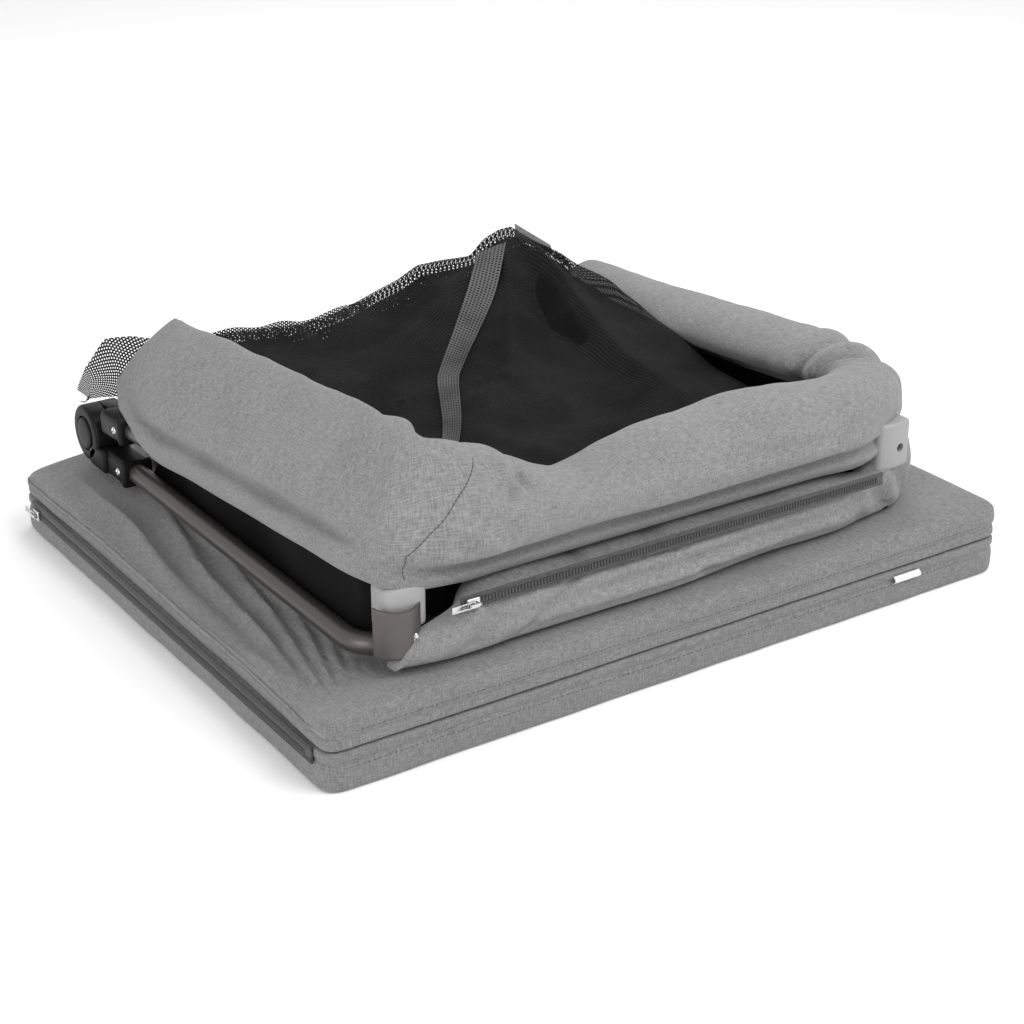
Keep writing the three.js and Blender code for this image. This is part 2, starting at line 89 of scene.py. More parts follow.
soft_lamp("key_lamp", (0.75, -1.15, 1.8), (0.0, 0.0, 0.08), 1.8, 29.0)
soft_lamp("back_lamp", (0.9, 1.3, 1.7), (0.0, 0.0, 0.1), 1.2, 9.0)
soft_lamp("side_lamp", (-1.3, -0.6, 0.5), (0.0, 0.0, 0.16), 0.8, 4.5)


def select_only(piece):
    bpy.ops.object.select_all(action="DESELECT")
    piece.select_set(True)
    bpy.context.view_layer.objects.active = piece


def named(name):
    """The piece just added, with its place in its mesh and its own name."""
    piece = bpy.context.active_object
    select_only(piece)
    bpy.ops.object.transform_apply(location=True, rotation=True, scale=True)
    piece.name = name
    piece.data.name = name
    return piece


def blank(add_primitive, name, **sizes):
    """A new primitive to shape, alone in the selection."""
    bpy.ops.object.select_all(action="DESELECT")
    add_primitive(**sizes)
    return named(name)


def put(tree, kind, inputs=None, **settings):
    node = tree.nodes.new(kind)
    for key, value in settings.items():
        setattr(node, key, value)
    for key, value in (inputs or {}).items():
        if isinstance(value, bpy.types.NodeSocket):
            tree.links.new(value, node.inputs[key])
        else:
            node.inputs[key].default_value = value
    return node


def maths(tree, operation, first, second=None, clamp=False):
    inputs = {0: first}
    if second is not None:
        inputs[1] = second
    return put(tree, "ShaderNodeMath", inputs, operation=operation, use_clamp=clamp).outputs[0]


def new_material(name, roughness=0.5, metallic=0.0):
    material = bpy.data.materials.new(name)
    material.use_nodes = True
    tree = material.node_tree
    shader = tree.nodes["Principled BSDF"]
    shader.inputs["Roughness"].default_value = roughness
    shader.inputs["Metallic"].default_value = metallic
    return material, tree, shader


floor_drop = 0.0004
floor = blank(bpy.ops.mesh.primitive_plane_add, "floor", size=14.0, location=(0.0, 0.0, -floor_drop))
floor_paint, tree, shader = new_material("floor_paint", roughness=0.9)
place = put(tree, "ShaderNodeTexCoord").outputs["Object"]
spots = put(tree, "ShaderNodeTexNoise", {"Vector": place, "Scale": 3.0})
tone = put(tree, "ShaderNodeMix", {0: spots.outputs[0], 6: (0.93, 0.93, 0.93, 1), 7: (0.95, 0.95, 0.95, 1)},
           data_type="RGBA")
tree.links.new(tone.outputs[2], shader.inputs["Base Color"])
floor.data.materials.append(floor_paint)

# Heather cloth.
# The cover, collar and band are one kind of cloth: a plain weave of mixed pale and dark grey
# polyester yarns, with slubs along both thread directions.
def group_with(name, inputs, outputs):
    group = bpy.data.node_groups.new(name, "ShaderNodeTree")
    for label, kind, value in inputs:
        socket = group.interface.new_socket(label, in_out="INPUT", socket_type=kind)
        if value is not None:
            socket.default_value = value
    for label, kind in outputs:
        group.interface.new_socket(label, in_out="OUTPUT", socket_type=kind)
    return group, group.nodes.new("NodeGroupInput"), group.nodes.new("NodeGroupOutput")


weave, given, result = group_with(
    "plain_weave",
    [("Vector", "NodeSocketVector", None), ("Pale", "NodeSocketColor", (0.5, 0.5, 0.5, 1)),
     ("Dark", "NodeSocketColor", (0.2, 0.2, 0.2, 1)), ("Threads", "NodeSocketFloat", 1300.0),
     ("Slub", "NodeSocketFloat", 1.0)],
    [("Color", "NodeSocketColor"), ("Height", "NodeSocketFloat"), ("Roughness", "NodeSocketFloat")],
)
apart = put(weave, "ShaderNodeSeparateXYZ", {0: given.outputs["Vector"]})
half_turn = maths(weave, "MULTIPLY", given.outputs["Threads"], math.pi)
across = maths(weave, "SINE", maths(weave, "MULTIPLY", apart.outputs[0], half_turn))
along = maths(weave, "SINE", maths(weave, "MULTIPLY", apart.outputs[1], half_turn))
over = maths(weave, "MULTIPLY", across, along)
slub_long, slub_short = 150.0, 1150.0
yarns = []
for stretch in ((slub_long, slub_short, 1.0), (slub_short, slub_long, 1.0)):
    run_map = put(weave, "ShaderNodeVectorMath", {0: given.outputs["Vector"], 1: stretch},
                  operation="MULTIPLY")
    yarns.append(put(weave, "ShaderNodeTexNoise",
                     {"Vector": run_map.outputs[0], "Scale": 1.0, "Detail": 1.0}))
warp, weft = yarns
shown = maths(weave, "MULTIPLY_ADD", over, 0.5)
shown.node.inputs[2].default_value = 0.5
yarn = put(weave, "ShaderNodeMix", {0: shown, 2: warp.outputs[0], 3: weft.outputs[0]}, data_type="FLOAT")
spread = put(weave, "ShaderNodeMapRange", {0: yarn.outputs[0], 1: 0.34, 2: 0.66})
patches = put(weave, "ShaderNodeTexNoise", {"Vector": given.outputs["Vector"], "Scale": 22.0, "Detail": 3.0})
cloudy = put(weave, "ShaderNodeMapRange", {0: patches.outputs[0], 1: 0.3, 2: 0.7, 3: -0.09, 4: 0.09})
share = maths(weave, "ADD", spread.outputs[0], cloudy.outputs[0], clamp=True)
colour = put(weave, "ShaderNodeMix", {0: share, 6: given.outputs["Dark"], 7: given.outputs["Pale"]},
             data_type="RGBA")
weave.links.new(colour.outputs[2], result.inputs["Color"])
slubs = maths(weave, "MULTIPLY", spread.outputs[0], given.outputs["Slub"])
raised = maths(weave, "ADD", maths(weave, "MULTIPLY", over, 0.35), slubs)
weave.links.new(raised, result.inputs["Height"])
rough = put(weave, "ShaderNodeMapRange", {0: share, 1: 0.0, 2: 1.0, 3: 0.95, 4: 0.82})
weave.links.new(rough.outputs[0], result.inputs["Roughness"])


def cloth_material(name, pale, dark, threads=1300.0, slub=1.0):
    material, tree, shader = new_material(name, roughness=0.9)
    shader.inputs["Specular IOR Level"].default_value = 0.25
    shader.inputs["Sheen Weight"].default_value = 0.18
    shader.inputs["Sheen Roughness"].default_value = 0.5
    cloth = put(tree, "ShaderNodeGroup", node_tree=weave)
    tree.links.new(put(tree, "ShaderNodeUVMap").outputs[0], cloth.inputs["Vector"])
    cloth.inputs["Pale"].default_value = (pale, pale, pale, 1)
    cloth.inputs["Dark"].default_value = (dark, dark, dark, 1)
    cloth.inputs["Threads"].default_value = threads
    cloth.inputs["Slub"].default_value = slub
    bump = put(tree, "ShaderNodeBump",
               {"Height": cloth.outputs["Height"], "Distance": 0.00035, "Strength": 0.5})
    tree.links.new(cloth.outputs["Color"], shader.inputs["Base Color"])
    tree.links.new(cloth.outputs["Roughness"], shader.inputs["Roughness"])
    tree.links.new(bump.outputs[0], shader.inputs["Normal"])
    return material


collar_cloth = cloth_material("collar_heather", 0.270, 0.145)
# the cover's copy of this cloth is darker than the collar's: painted shade, standing in for the shade on the
# mattress tops
cover_cloth_painted_shade = cloth_material("cover_heather_painted_shade", 0.232, 0.126)
thread = cloth_material("sewing_thread", 0.09, 0.05, threads=3000.0)


# Mattress panels.
# Two panels of thin foam in a zipped cover of the same heather cloth, folded over at the back.
# The cover is sewn from a top, an underside and a side strip, so each edge has a seam line.
def give(piece, material):
    piece.data.materials.clear()
    piece.data.materials.append(material)


def fitted(piece, material, slot, body, *nodes):
    """A finished piece's material, the nodes it stands for and the body it rides; its slot is not used."""
    give(piece, material)
    if nodes:
        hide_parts(*nodes)
    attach(piece, body)


def applied(piece, kind, **settings):
    """Puts a modifier on a piece and applies it."""
    select_only(piece)
    modifier = piece.modifiers.new(kind.lower(), kind)
    for key, value in settings.items():
        setattr(modifier, key, value)
    bpy.ops.object.modifier_apply(modifier=modifier.name)


def facing_outwards(piece, gap=0.0, fill=False):
    """Merges doubled points, fills open edges if asked, and turns every face outwards."""
    select_only(piece)
    bpy.ops.object.mode_set(mode="EDIT")
    bpy.ops.mesh.select_all(action="SELECT")
    if gap:
        bpy.ops.mesh.remove_doubles(threshold=gap)
    if fill:
        bpy.ops.mesh.select_all(action="DESELECT")
        bpy.ops.mesh.select_non_manifold()
        bpy.ops.mesh.edge_face_add()
        bpy.ops.mesh.select_all(action="SELECT")
    bpy.ops.mesh.normals_make_consistent(inside=False)
    bpy.ops.object.mode_set(mode="OBJECT")


def points_of(piece):
    points = np.zeros(len(piece.data.vertices) * 3)
    piece.data.vertices.foreach_get("co", points)
    return points.reshape(-1, 3)


def move_points(piece, points):
    piece.data.vertices.foreach_set("co", np.asarray(points, np.float32).ravel())
    piece.data.update()


def sliced(piece, axis, places):
    """Cuts a piece into squares by flat cuts across one axis."""
    select_only(piece)
    bpy.ops.object.mode_set(mode="EDIT")
    normal = [0.0, 0.0, 0.0]
    normal[axis] = 1.0
    for place in places:
        bpy.ops.mesh.select_all(action="SELECT")
        at = [0.0, 0.0, 0.0]
        at[axis] = place
        bpy.ops.mesh.bisect(plane_co=at, plane_no=normal)
    bpy.ops.object.mode_set(mode="OBJECT")


def smoothed(piece, levels=1):
    applied(piece, "SUBSURF", levels=levels, render_levels=levels)
    bpy.ops.object.shade_smooth()


def cloth_uv(piece):
    """Lays the weave flat on each side of the piece, in metres."""
    select_only(piece)
    bpy.ops.object.mode_set(mode="EDIT")
    bpy.ops.mesh.select_all(action="SELECT")
    bpy.ops.uv.cube_project(cube_size=1.0, correct_aspect=False, scale_to_bounds=False)
    bpy.ops.object.mode_set(mode="OBJECT")


def ripple(x, y, z, scale, seed=0.0):
    return noise.noise(Vector((x * scale + seed, y * scale + seed * 0.7, z * scale - seed)))


def spaced(low, high, step, edge):
    """Even places between two ends, closer together near the ends."""
    near = [0.0025, 0.006, 0.011, 0.018]
    even = (high - low - 2 * edge) / round((high - low) / step)
    inner = list(np.arange(low + edge, high - edge + 1e-6, even))
    return [low + v for v in near] + inner + [high - v for v in near]


panel_low, panel_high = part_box("mattress_bottom_cover")
top_low, top_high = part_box("mattress_top_cover")
square, near_edge = 0.011, 0.028
corner = 0.014
slack_reach = 0.105
seam_half = 0.0012


def mattress_panel(name, low, high, round_low, round_high, grow_low, grow_high, seam_share, slack, seed):
    middle = (low + high) / 2
    panel = blank(bpy.ops.mesh.primitive_cube_add, name, size=1.0, location=middle, scale=high - low)
    fine = list(np.arange(low.x + 0.022, low.x + 0.110, 0.0042)) if slack else []
    sliced(panel, 0, spaced(low.x, high.x, square, near_edge) + fine)
    sliced(panel, 1, spaced(low.y, high.y, square, near_edge))
    depth = high.z - low.z
    seam = low.z + depth * seam_share
    heights = [low.z + depth * s for s in (0.12, 0.28, 0.45, 0.6, 0.8, 0.93)]
    sliced(panel, 2, sorted(heights + [seam - seam_half, seam, seam + seam_half]))
    points = points_of(panel)
    moved = points.copy()
    for i, (x, y, z) in enumerate(points):
        core = np.array([
            min(max(x, low.x + corner), high.x - corner),
            min(max(y, low.y + corner), high.y - corner),
        ])
        out = np.array([x, y]) - core
        reach = np.linalg.norm(out)
        if reach > 1e-9:
            span = max(abs(out))
            out = out / reach * span
        # edges: the side wall bows, the top and bottom edges are rounded
        edge = min(x - low.x, high.x - x, y - low.y, high.y - y)
        up = (z - low.z) / depth
        lift = min(z - low.z, high.z - z)
        round_edge = round_high if z > middle.z else round_low
        p = np.array([core[0] + out[0], core[1] + out[1], z])
        inset = 0.0
        if lift < round_edge and edge < round_edge:
            a, b = round_edge - edge, round_edge - lift
            d = math.hypot(a, b)
            if d > 1e-9:
                k = max(a, b) / d
                inset = a * (1 - k)
                p[2] += (b * (1 - k)) * (1 if z < middle.z else -1)
        towards = np.array([
            (1 if x - low.x < edge + 1e-6 else 0) - (1 if high.x - x < edge + 1e-6 else 0),
            (1 if y - low.y < edge + 1e-6 else 0) - (1 if high.y - y < edge + 1e-6 else 0),
        ], float)
        p[:2] += towards * inset
        wall = math.exp(-edge / 0.004)
        soft = 0.0011 * ripple(x, y, z, 14.0, seed) + 0.0006 * ripple(x, y, z, 41.0, seed + 3)
        p[:2] += towards * (-soft) * wall
        groove = math.exp(-((z - seam) / 0.0016) ** 2) * wall
        pucker = 0.5 + 0.5 * ripple(x, y, 0, 120.0, seed + 9)
        p[:2] += towards * groove * (0.0016 + 0.0008 * pucker)
        p[2] += grow_high * max(0.0, 2 * up - 1) - grow_low * max(0.0, 1 - 2 * up)
        if up > 0.5 and round_high > 0.005:
            swell = 0.0016 * ripple(x, y, 0, 5.0, seed) + 0.0007 * ripple(x, y, 0, 17.0, seed + 5)
            p[2] += swell * (1 - wall) - 0.0014
        # the zipped left side is slack: it lies in long folds and its edge lifts off the zip
        near_left = x - low.x
        along = (y - low.y) / (high.y - low.y)
        if slack and near_left < slack_reach:
            fall = (1 - near_left / slack_reach) ** 1.6
            turn = math.atan2(near_left, y - low.y + 0.07)
            wave = math.sin(turn * 46.0 + 1.6 * ripple(x, y, 0, 6.0, seed + 2) + 0.6)
            wave = 1 - 2 * abs(wave) ** 0.7
            fade = min(1.0, near_left / 0.010) * (1 - near_left / slack_reach) ** 0.6
            fade *= min(1.0, max(0.0, along - 0.02) / 0.10) * min(1.0, max(0.0, 0.96 - along) / 0.30)
            if up > 0.5:
                uneven = 0.75 + 0.35 * ripple(0, y, 0, 7.0, seed + 4)
                p[2] -= slack * fall * uneven * min(1.0, along / 0.08)
                p[2] += 0.0062 * wave * fade
            if near_left < 0.001:
                lifted = math.sin(math.pi * min(1.0, along)) ** 0.7
                p[0] += lifted * (0.0035 + 0.0022 * ripple(0, y, 0, 13.0, seed + 6)) * (1 - 0.5 * up)
                p[2] += lifted * (1 - up) * (0.0035 + 0.0025 * ripple(0, y, 0, 9.0, seed + 7))
        p[1] = min(p[1], high.y - 0.0004)
        moved[i] = p
    move_points(panel, moved)
    facing_outwards(panel)
    smoothed(panel)
    cloth_uv(panel)
    return panel, seam


mattress_bottom, bottom_seam = mattress_panel(
    "mattress_bottom_padded", panel_low, panel_high, round_low=0.003, round_high=0.0022,
    grow_low=0.0, grow_high=0.0010, seam_share=0.72, slack=0.0, seed=11.0)
mattress_top, top_seam = mattress_panel(
    "mattress_top_padded", top_low, top_high, round_low=0.0024, round_high=0.011,
    grow_low=0.0010, grow_high=0.0, seam_share=0.30, slack=0.013, seed=4.0)
# the panels wear the darker copy of the cloth, whose lower tone is painted shade
for panel, body in ((mattress_bottom, "mattress_bottom"), (mattress_top, "mattress_top")):
    fitted(panel, cover_cloth_painted_shade, "heather_dark", body, f"{body}_cover", f"{body}_foam")

# Sewn stitches.
# Short lock stitches of grey thread, each sunk a little in the cloth, along the seam lines.
def strung(name, bead, centres, bases):
    """Copies of a small piece, each placed and turned, as one mesh."""
    bead_points = points_of(bead)
    bead_faces = [list(face.vertices) for face in bead.data.polygons]
    bpy.data.objects.remove(bead)
    points = [centre + bead_points @ basis for centre, basis in zip(centres, bases)]
    faces = [[k * len(bead_points) + v for v in face] for k in range(len(points)) for face in bead_faces]
    mesh = bpy.data.meshes.new(name)
    mesh.from_pydata(np.concatenate(points).tolist(), [], faces)
    row = bpy.data.objects.new(name, mesh)
    scene.collection.objects.link(row)
    return row


def stitch_row(name, places, facings, length=0.0028, pitch=0.0040, thick=0.00045):
    """Stitches along a line of points; facings are the outward directions there."""
    bead = blank(bpy.ops.mesh.primitive_uv_sphere_add, "bead", segments=6, ring_count=4, radius=0.5)
    places = np.asarray(places, float)
    facings = np.asarray(facings, float)
    steps = np.linalg.norm(np.diff(places, axis=0), axis=1)
    run = np.concatenate([[0.0], np.cumsum(steps)])
    centres, bases = [], []
    for at in np.arange(pitch, run[-1] - pitch, pitch):
        centre, ahead = (np.array([np.interp(spot, run, places[:, k]) for k in range(3)])
                         for spot in (at, at + 0.001))
        facing = np.array([np.interp(at, run, facings[:, k]) for k in range(3)])
        direction = (ahead - centre) / (np.linalg.norm(ahead - centre) + 1e-12)
        facing = facing - direction * facing.dot(direction)
        facing = facing / (np.linalg.norm(facing) + 1e-12)
        side = np.cross(direction, facing)
        centres.append(centre)
        bases.append(np.array([direction * length, side * thick * 1.6, facing * thick]))
    row = strung(name, bead, centres, bases)
    select_only(row)
    bpy.ops.object.shade_smooth()
    cloth_uv(row)
    return row


def surface_of(piece):
    return BVHTree.FromObject(piece, bpy.context.evaluated_depsgraph_get())


def seam_stitches(name, panel, low, high, height):
    surface = surface_of(panel)
    inset = 0.02
    step, away = 0.004, 0.05
    sides = [
        ([(x, low.y - away) for x in np.arange(low.x + inset, high.x - inset, step)], (0, 1, 0)),
        ([(high.x + away, y) for y in np.arange(low.y + inset, high.y - inset, step)], (-1, 0, 0)),
    ]
    rows = []
    for k, (starts, direction) in enumerate(sides):
        places, facings = [], []
        for x, y in starts:
            hit = surface.ray_cast(Vector((x, y, height)), Vector(direction))[0]
            if hit is not None:
                places.append(hit)
                facings.append(-Vector(direction))
        rows.append(stitch_row(f"{name}_{k + 1}", places, facings))
    return rows


beside_seam = 0.003
for body, panel, low, high, height in (
    ("mattress_bottom", mattress_bottom, panel_low, panel_high, bottom_seam - beside_seam),
    ("mattress_top", mattress_top, top_low, top_high, top_seam + beside_seam),
):
    for row in seam_stitches(f"{body}_stitches", panel, low, high, height):
        fitted(row, thread, "tape", body)

# Rails.
# Bent round steel tube with a warm taupe-grey powder coat, three lengths to each half of the ring.
# The right front bend is wider than the left; the upper half leans back about the fold joints.
def painted_metal(name, colour, roughness, metallic, grain=0.04):
    material, tree, shader = new_material(name, roughness=roughness, metallic=metallic)
    place = put(tree, "ShaderNodeTexCoord").outputs["Object"]
    fine = put(tree, "ShaderNodeTexNoise", {"Vector": place, "Scale": 1500.0, "Detail": 2.0})
    broad = put(tree, "ShaderNodeTexNoise", {"Vector": place, "Scale": 14.0, "Detail": 4.0})
    low = tuple(c * 0.88 for c in colour) + (1,)
    high = tuple(min(1.0, c * 1.1) for c in colour) + (1,)
    tint = put(tree, "ShaderNodeMix", {0: broad.outputs[0], 6: low, 7: high}, data_type="RGBA")
    tree.links.new(tint.outputs[2], shader.inputs["Base Color"])
    worn = put(tree, "ShaderNodeMapRange", {0: broad.outputs[0], 1: 0.35, 2: 0.7,
                                            3: roughness - 0.05, 4: roughness + 0.08})
    tree.links.new(worn.outputs[0], shader.inputs["Roughness"])
    bump = put(tree, "ShaderNodeBump", {"Height": fine.outputs[0], "Distance": 0.0001, "Strength": grain * 5})
    tree.links.new(bump.outputs[0], shader.inputs["Normal"])
    return material


rail_paint = painted_metal("rail_powder_coat", (0.098, 0.088, 0.086), 0.33, 0.6)
plate_paint = painted_metal("plate_powder_coat", (0.100, 0.090, 0.088), 0.36, 0.45)
pale_plastic = painted_metal("pale_plastic", (0.30, 0.30, 0.30), 0.45, 0.0)
black_plastic = painted_metal("black_plastic", (0.007, 0.007, 0.007), 0.42, 0.0, grain=0.08)
black_plastic.node_tree.nodes["Principled BSDF"].inputs["Specular IOR Level"].default_value = 0.16
bright_steel = painted_metal("bright_steel", (0.62, 0.62, 0.63), 0.2, 1.0, grain=0.02)

rail_low, rail_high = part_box("lower_front_rail")
rail_radius = (rail_high.z - rail_low.z) / 2
lower_z = (rail_low.z + rail_high.z) / 2
left_low, left_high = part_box("lower_left_rail")
rail_x = -left_low.x - rail_radius
front_y = (rail_low.y + rail_high.y) / 2
bend_radius = 0.024
right_bend_radius = 0.050
tube_wall = 0.0014
fold_joint = next(j for j in frame["joints"] if j["name"] == "rail_fold")
fold = Vector(fold_joint["pos_m"])
rest_tilt = math.radians(180.0 - fold_joint["range_deg"][1])
upper_z = 2 * fold.z - lower_z
sides = ((-1, "left"), (1, "right"))
halves = (("lower", lower_z), ("upper", upper_z))
tilting = Matrix.Translation(fold) @ Matrix.Rotation(-rest_tilt, 4, "X") @ Matrix.Translation(-fold)


def tilted(piece):
    """The upper half is made level and then leans back about the fold joints, as it rests."""
    piece.data.transform(tilting)
    return piece


def walled(rail):
    """Gives a tube's skin its wall."""
    applied(rail, "SOLIDIFY", thickness=tube_wall, offset=-1.0)
    bpy.ops.object.shade_smooth_by_angle(angle=math.radians(40))
    return rail


def side_rail(name, side, z, start_y):
    """A ring pushed forward along the side, spun round the bend and pushed along the front."""
    rail = blank(bpy.ops.mesh.primitive_circle_add, name, vertices=32, radius=rail_radius,
                 location=(side * rail_x, start_y, z), rotation=(math.pi / 2, 0, 0))
    radius = bend_radius if side < 0 else right_bend_radius
    bend_y = front_y + radius
    bpy.ops.object.mode_set(mode="EDIT")
    bpy.ops.mesh.select_all(action="SELECT")
    bpy.ops.mesh.extrude_region_move(TRANSFORM_OT_translate={"value": (0, bend_y - start_y, 0)})
    bpy.ops.mesh.spin(steps=12, angle=-math.pi / 2 * side, center=(side * (rail_x - radius), bend_y, z),
                      axis=(0, 0, -1))
    bpy.ops.mesh.extrude_region_move(TRANSFORM_OT_translate={"value": (-side * 0.006, 0, 0)})
    bpy.ops.object.mode_set(mode="OBJECT")
    facing_outwards(rail, gap=0.00005)
    return walled(rail)


def front_rail(name, z):
    left_end, right_end = bend_radius - rail_x, rail_x - right_bend_radius
    end_gaps = 0.013
    return walled(blank(bpy.ops.mesh.primitive_cylinder_add, name, vertices=32, radius=rail_radius,
                        depth=right_end - left_end - end_gaps, rotation=(0, math.pi / 2, 0),
                        location=((left_end + right_end) / 2, front_y, z), end_fill_type="NOTHING"))


for half, z in halves:
    rails = [(side_rail(f"{half}_{word}_tube", side, z, left_high.y), f"{half}_{word}_rail")
             for side, word in sides]
    rails.append((front_rail(f"{half}_front_tube", z), f"{half}_front_rail"))
    for rail, node in rails:
        if half == "upper":
            tilted(rail)
        fitted(rail, rail_paint, "rail", f"{half}_frame", node)

# Fold joints.
# Each is two black moulded shells, one on each half of the ring, that meet in round discs on a
# pivot pin; a round release button stands in the outer disc inside a raised rim.
def ring_profile(name, side, x_from, x_to, profile):
    """A turned disc about the fold axis: profile is a row of (share of thickness, radius)."""
    first = profile[0]
    disc = blank(bpy.ops.mesh.primitive_circle_add, name, vertices=64, radius=first[1], fill_type="NOTHING",
                 location=(side * (x_from + (x_to - x_from) * first[0]), fold.y, fold.z),
                 rotation=(0, math.pi / 2, 0))
    bpy.ops.object.mode_set(mode="EDIT")
    bpy.ops.mesh.select_all(action="SELECT")
    before = first
    for share, radius in profile[1:]:
        shift = side * (share - before[0]) * (x_to - x_from)
        bpy.ops.mesh.extrude_region_move(TRANSFORM_OT_translate={"value": (shift, 0, 0)})
        grow = radius / before[1]
        bpy.ops.transform.resize(value=(1, grow, grow), center_override=(0, fold.y, fold.z))
        before = (share, radius)
    bpy.ops.mesh.edge_face_add()
    bpy.ops.mesh.select_all(action="DESELECT")
    bpy.ops.object.mode_set(mode="OBJECT")
    facing_outwards(disc, gap=0.00002, fill=True)
    bpy.ops.object.shade_smooth_by_angle(angle=math.radians(35))
    return disc


def bevelled_box(name, low, high, width, segments=3):
    low, high = Vector(low), Vector(high)
    piece = blank(bpy.ops.mesh.primitive_cube_add, name, size=1.0,
                  location=(low + high) / 2, scale=high - low)
    applied(piece, "BEVEL", width=width, segments=segments)
    bpy.ops.object.shade_smooth_by_angle(angle=math.radians(40))
    return piece


def joined(name, pieces):
    select_only(pieces[0])
    for piece in pieces:
        piece.select_set(True)
    bpy.ops.object.join()
    return named(name)


disc_outer, disc_split, disc_inner = 0.260, 0.2454, 0.2300
disc_gap = 0.0005
reach = 0.0105
half_arm = 0.012
button_inner, button_outer = 0.2545, 0.2612
outer_profile = [(0.0, 0.0225), (0.04, 0.0230), (0.80, 0.0230), (0.90, 0.0226), (0.97, 0.0215), (1.0, 0.0200),
                 (1.0, 0.0150), (0.96, 0.0142), (0.84, 0.0138), (0.82, 0.0100)]
inner_profile = [(0.0, 0.0222), (0.05, 0.0230), (0.95, 0.0230), (1.0, 0.0222)]
button_profile = [(0.0, 0.0110), (0.776, 0.0128), (0.925, 0.0125), (1.0, 0.0112), (1.045, 0.008)]
for side, word in sides:
    shell_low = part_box(f"lower_{word}_joint_shell")[0]
    for half, z in halves:
        if half == "lower":
            disc = ring_profile("disc", side, disc_split, disc_outer, outer_profile)
            disc_x = (disc_split, disc_outer)
        else:
            disc = ring_profile("disc", side, disc_split - disc_gap, disc_inner, inner_profile)
            disc_x = (disc_inner, disc_split - disc_gap)
        arm_x = sorted((side * (rail_x - half_arm), side * (rail_x + half_arm)))
        arm = bevelled_box("arm", (arm_x[0], shell_low.y, z - reach),
                           (arm_x[1], fold.y - 0.0245, z + reach), 0.0055, 5)
        neck_x = sorted((side * disc_x[0], side * disc_x[1]))
        neck = bevelled_box("neck", (neck_x[0], fold.y - 0.034, z - reach + 0.001),
                            (neck_x[1], fold.y - 0.004, z + reach - 0.001), 0.003, 3)
        collar_ring = bevelled_box("lip", (arm_x[0] - 0.0008, shell_low.y - 0.0001, z - reach - 0.0004),
                                   (arm_x[1] + 0.0008, shell_low.y + 0.006, z + reach + 0.0004), 0.0035, 4)
        shell = joined(f"{half}_{word}_joint_housing", [disc, arm, neck, collar_ring])
        if half == "upper":
            tilted(shell)
        fitted(shell, black_plastic, "black", f"{half}_frame", f"{half}_{word}_joint_shell")
    button = ring_profile(f"{word}_push_button", side, button_inner, button_outer, button_profile)
    fitted(button, black_plastic, "black", f"{word}_button", f"{word}_release_button")
    for node in (f"{word}_pivot_pin", f"{word}_button_spring", f"upper_{word}_corner_plug"):
        give(frame["nodes"][node], bright_steel)

# Corner fittings.
# A black moulded block joins the lower rails at each front corner; a bowed, powder-coated plate is
# screwed over its front and a pale moulded latch stands on it. The right set stands further in.
def notched(piece, centre, radius, turn):
    """A round notch cut through a piece."""
    cutter = blank(bpy.ops.mesh.primitive_cylinder_add, "notch", vertices=32, radius=radius, depth=0.02,
                   location=centre, rotation=turn)
    applied(piece, "BOOLEAN", object=cutter)
    bpy.data.objects.remove(cutter)


right_corner_step = Vector((-0.011, 0.005, 0.0))
half_latch = 0.0158
plate_bow = 1.35
for side, word in sides:
    block_low, block_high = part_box(f"lower_{word}_corner_block")
    if side > 0:
        block_low, block_high = block_low + right_corner_step, block_high + right_corner_step
    block = bevelled_box(f"lower_{word}_corner_body", block_low, block_high, 0.0025, 3)
    fitted(block, black_plastic, "black", "lower_frame", f"lower_{word}_corner_block")
    latch_low, latch_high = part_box(f"{word}_corner_latch")
    # the right latch stands higher and further in, under the gathered cloth
    latch_x = side * (rail_x - (0.026 if side < 0 else 0.036))
    if side > 0:
        latch_low.z += 0.012
        latch_high.z += 0.018
    latch = bevelled_box(f"{word}_latch_body", (latch_x - half_latch, latch_low.y + 0.0005, latch_low.z),
                         (latch_x + half_latch, latch_high.y, latch_high.z + 0.006), 0.0035, 4)
    sliced(latch, 0, [latch_x + half_latch * k / 6 for k in range(-5, 6)])
    points = points_of(latch)
    at_front = points[:, 1] < (latch_low.y + latch_high.y) / 2
    points[:, 1] -= 0.0028 * (1 - ((points[:, 0] - latch_x) / half_latch) ** 2) * at_front
    move_points(latch, points)
    if side > 0:
        notched(latch, (latch_x + 0.004, latch_low.y, latch_high.z - 0.0145), 0.0034, (math.pi / 2, 0, 0))
    select_only(latch)
    bpy.ops.object.shade_smooth_by_angle(angle=math.radians(40))
    fitted(latch, pale_plastic, "pale", "lower_frame", f"{word}_corner_latch")
    plate_low, plate_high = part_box(f"lower_{word}_corner_plate")
    corner_x = side * (rail_x - (0.021 if side < 0 else 0.038))
    if side > 0:
        plate_low.y += 0.013
    plate = blank(bpy.ops.mesh.primitive_grid_add, f"lower_{word}_corner_cover",
                  x_subdivisions=24, y_subdivisions=16, size=1.0)
    grid = points_of(plate)
    wide = 0.0172 if side < 0 else 0.0130
    u, v = grid[:, 0] * 2, grid[:, 1] + 0.5
    taller = 0.0055
    shaped = np.stack([
        corner_x + wide * np.sin(u * plate_bow) / math.sin(plate_bow),
        plate_low.y - 0.0012 + 0.0135 * (1 - np.cos(u * plate_bow)) / (1 - math.cos(plate_bow)),
        plate_low.z + 0.007 + (plate_high.z - plate_low.z + taller) * v - 0.0022 * (1 - u ** 2) * v ** 6,
    ], 1)
    move_points(plate, shaped)
    applied(plate, "SOLIDIFY", thickness=0.0018, offset=0.0)
    applied(plate, "BEVEL", width=0.0004, segments=2, limit_method="ANGLE")
    bpy.ops.object.shade_smooth_by_angle(angle=math.radians(40))
    fitted(plate, plate_paint, "plate", "lower_frame", f"lower_{word}_corner_plate")
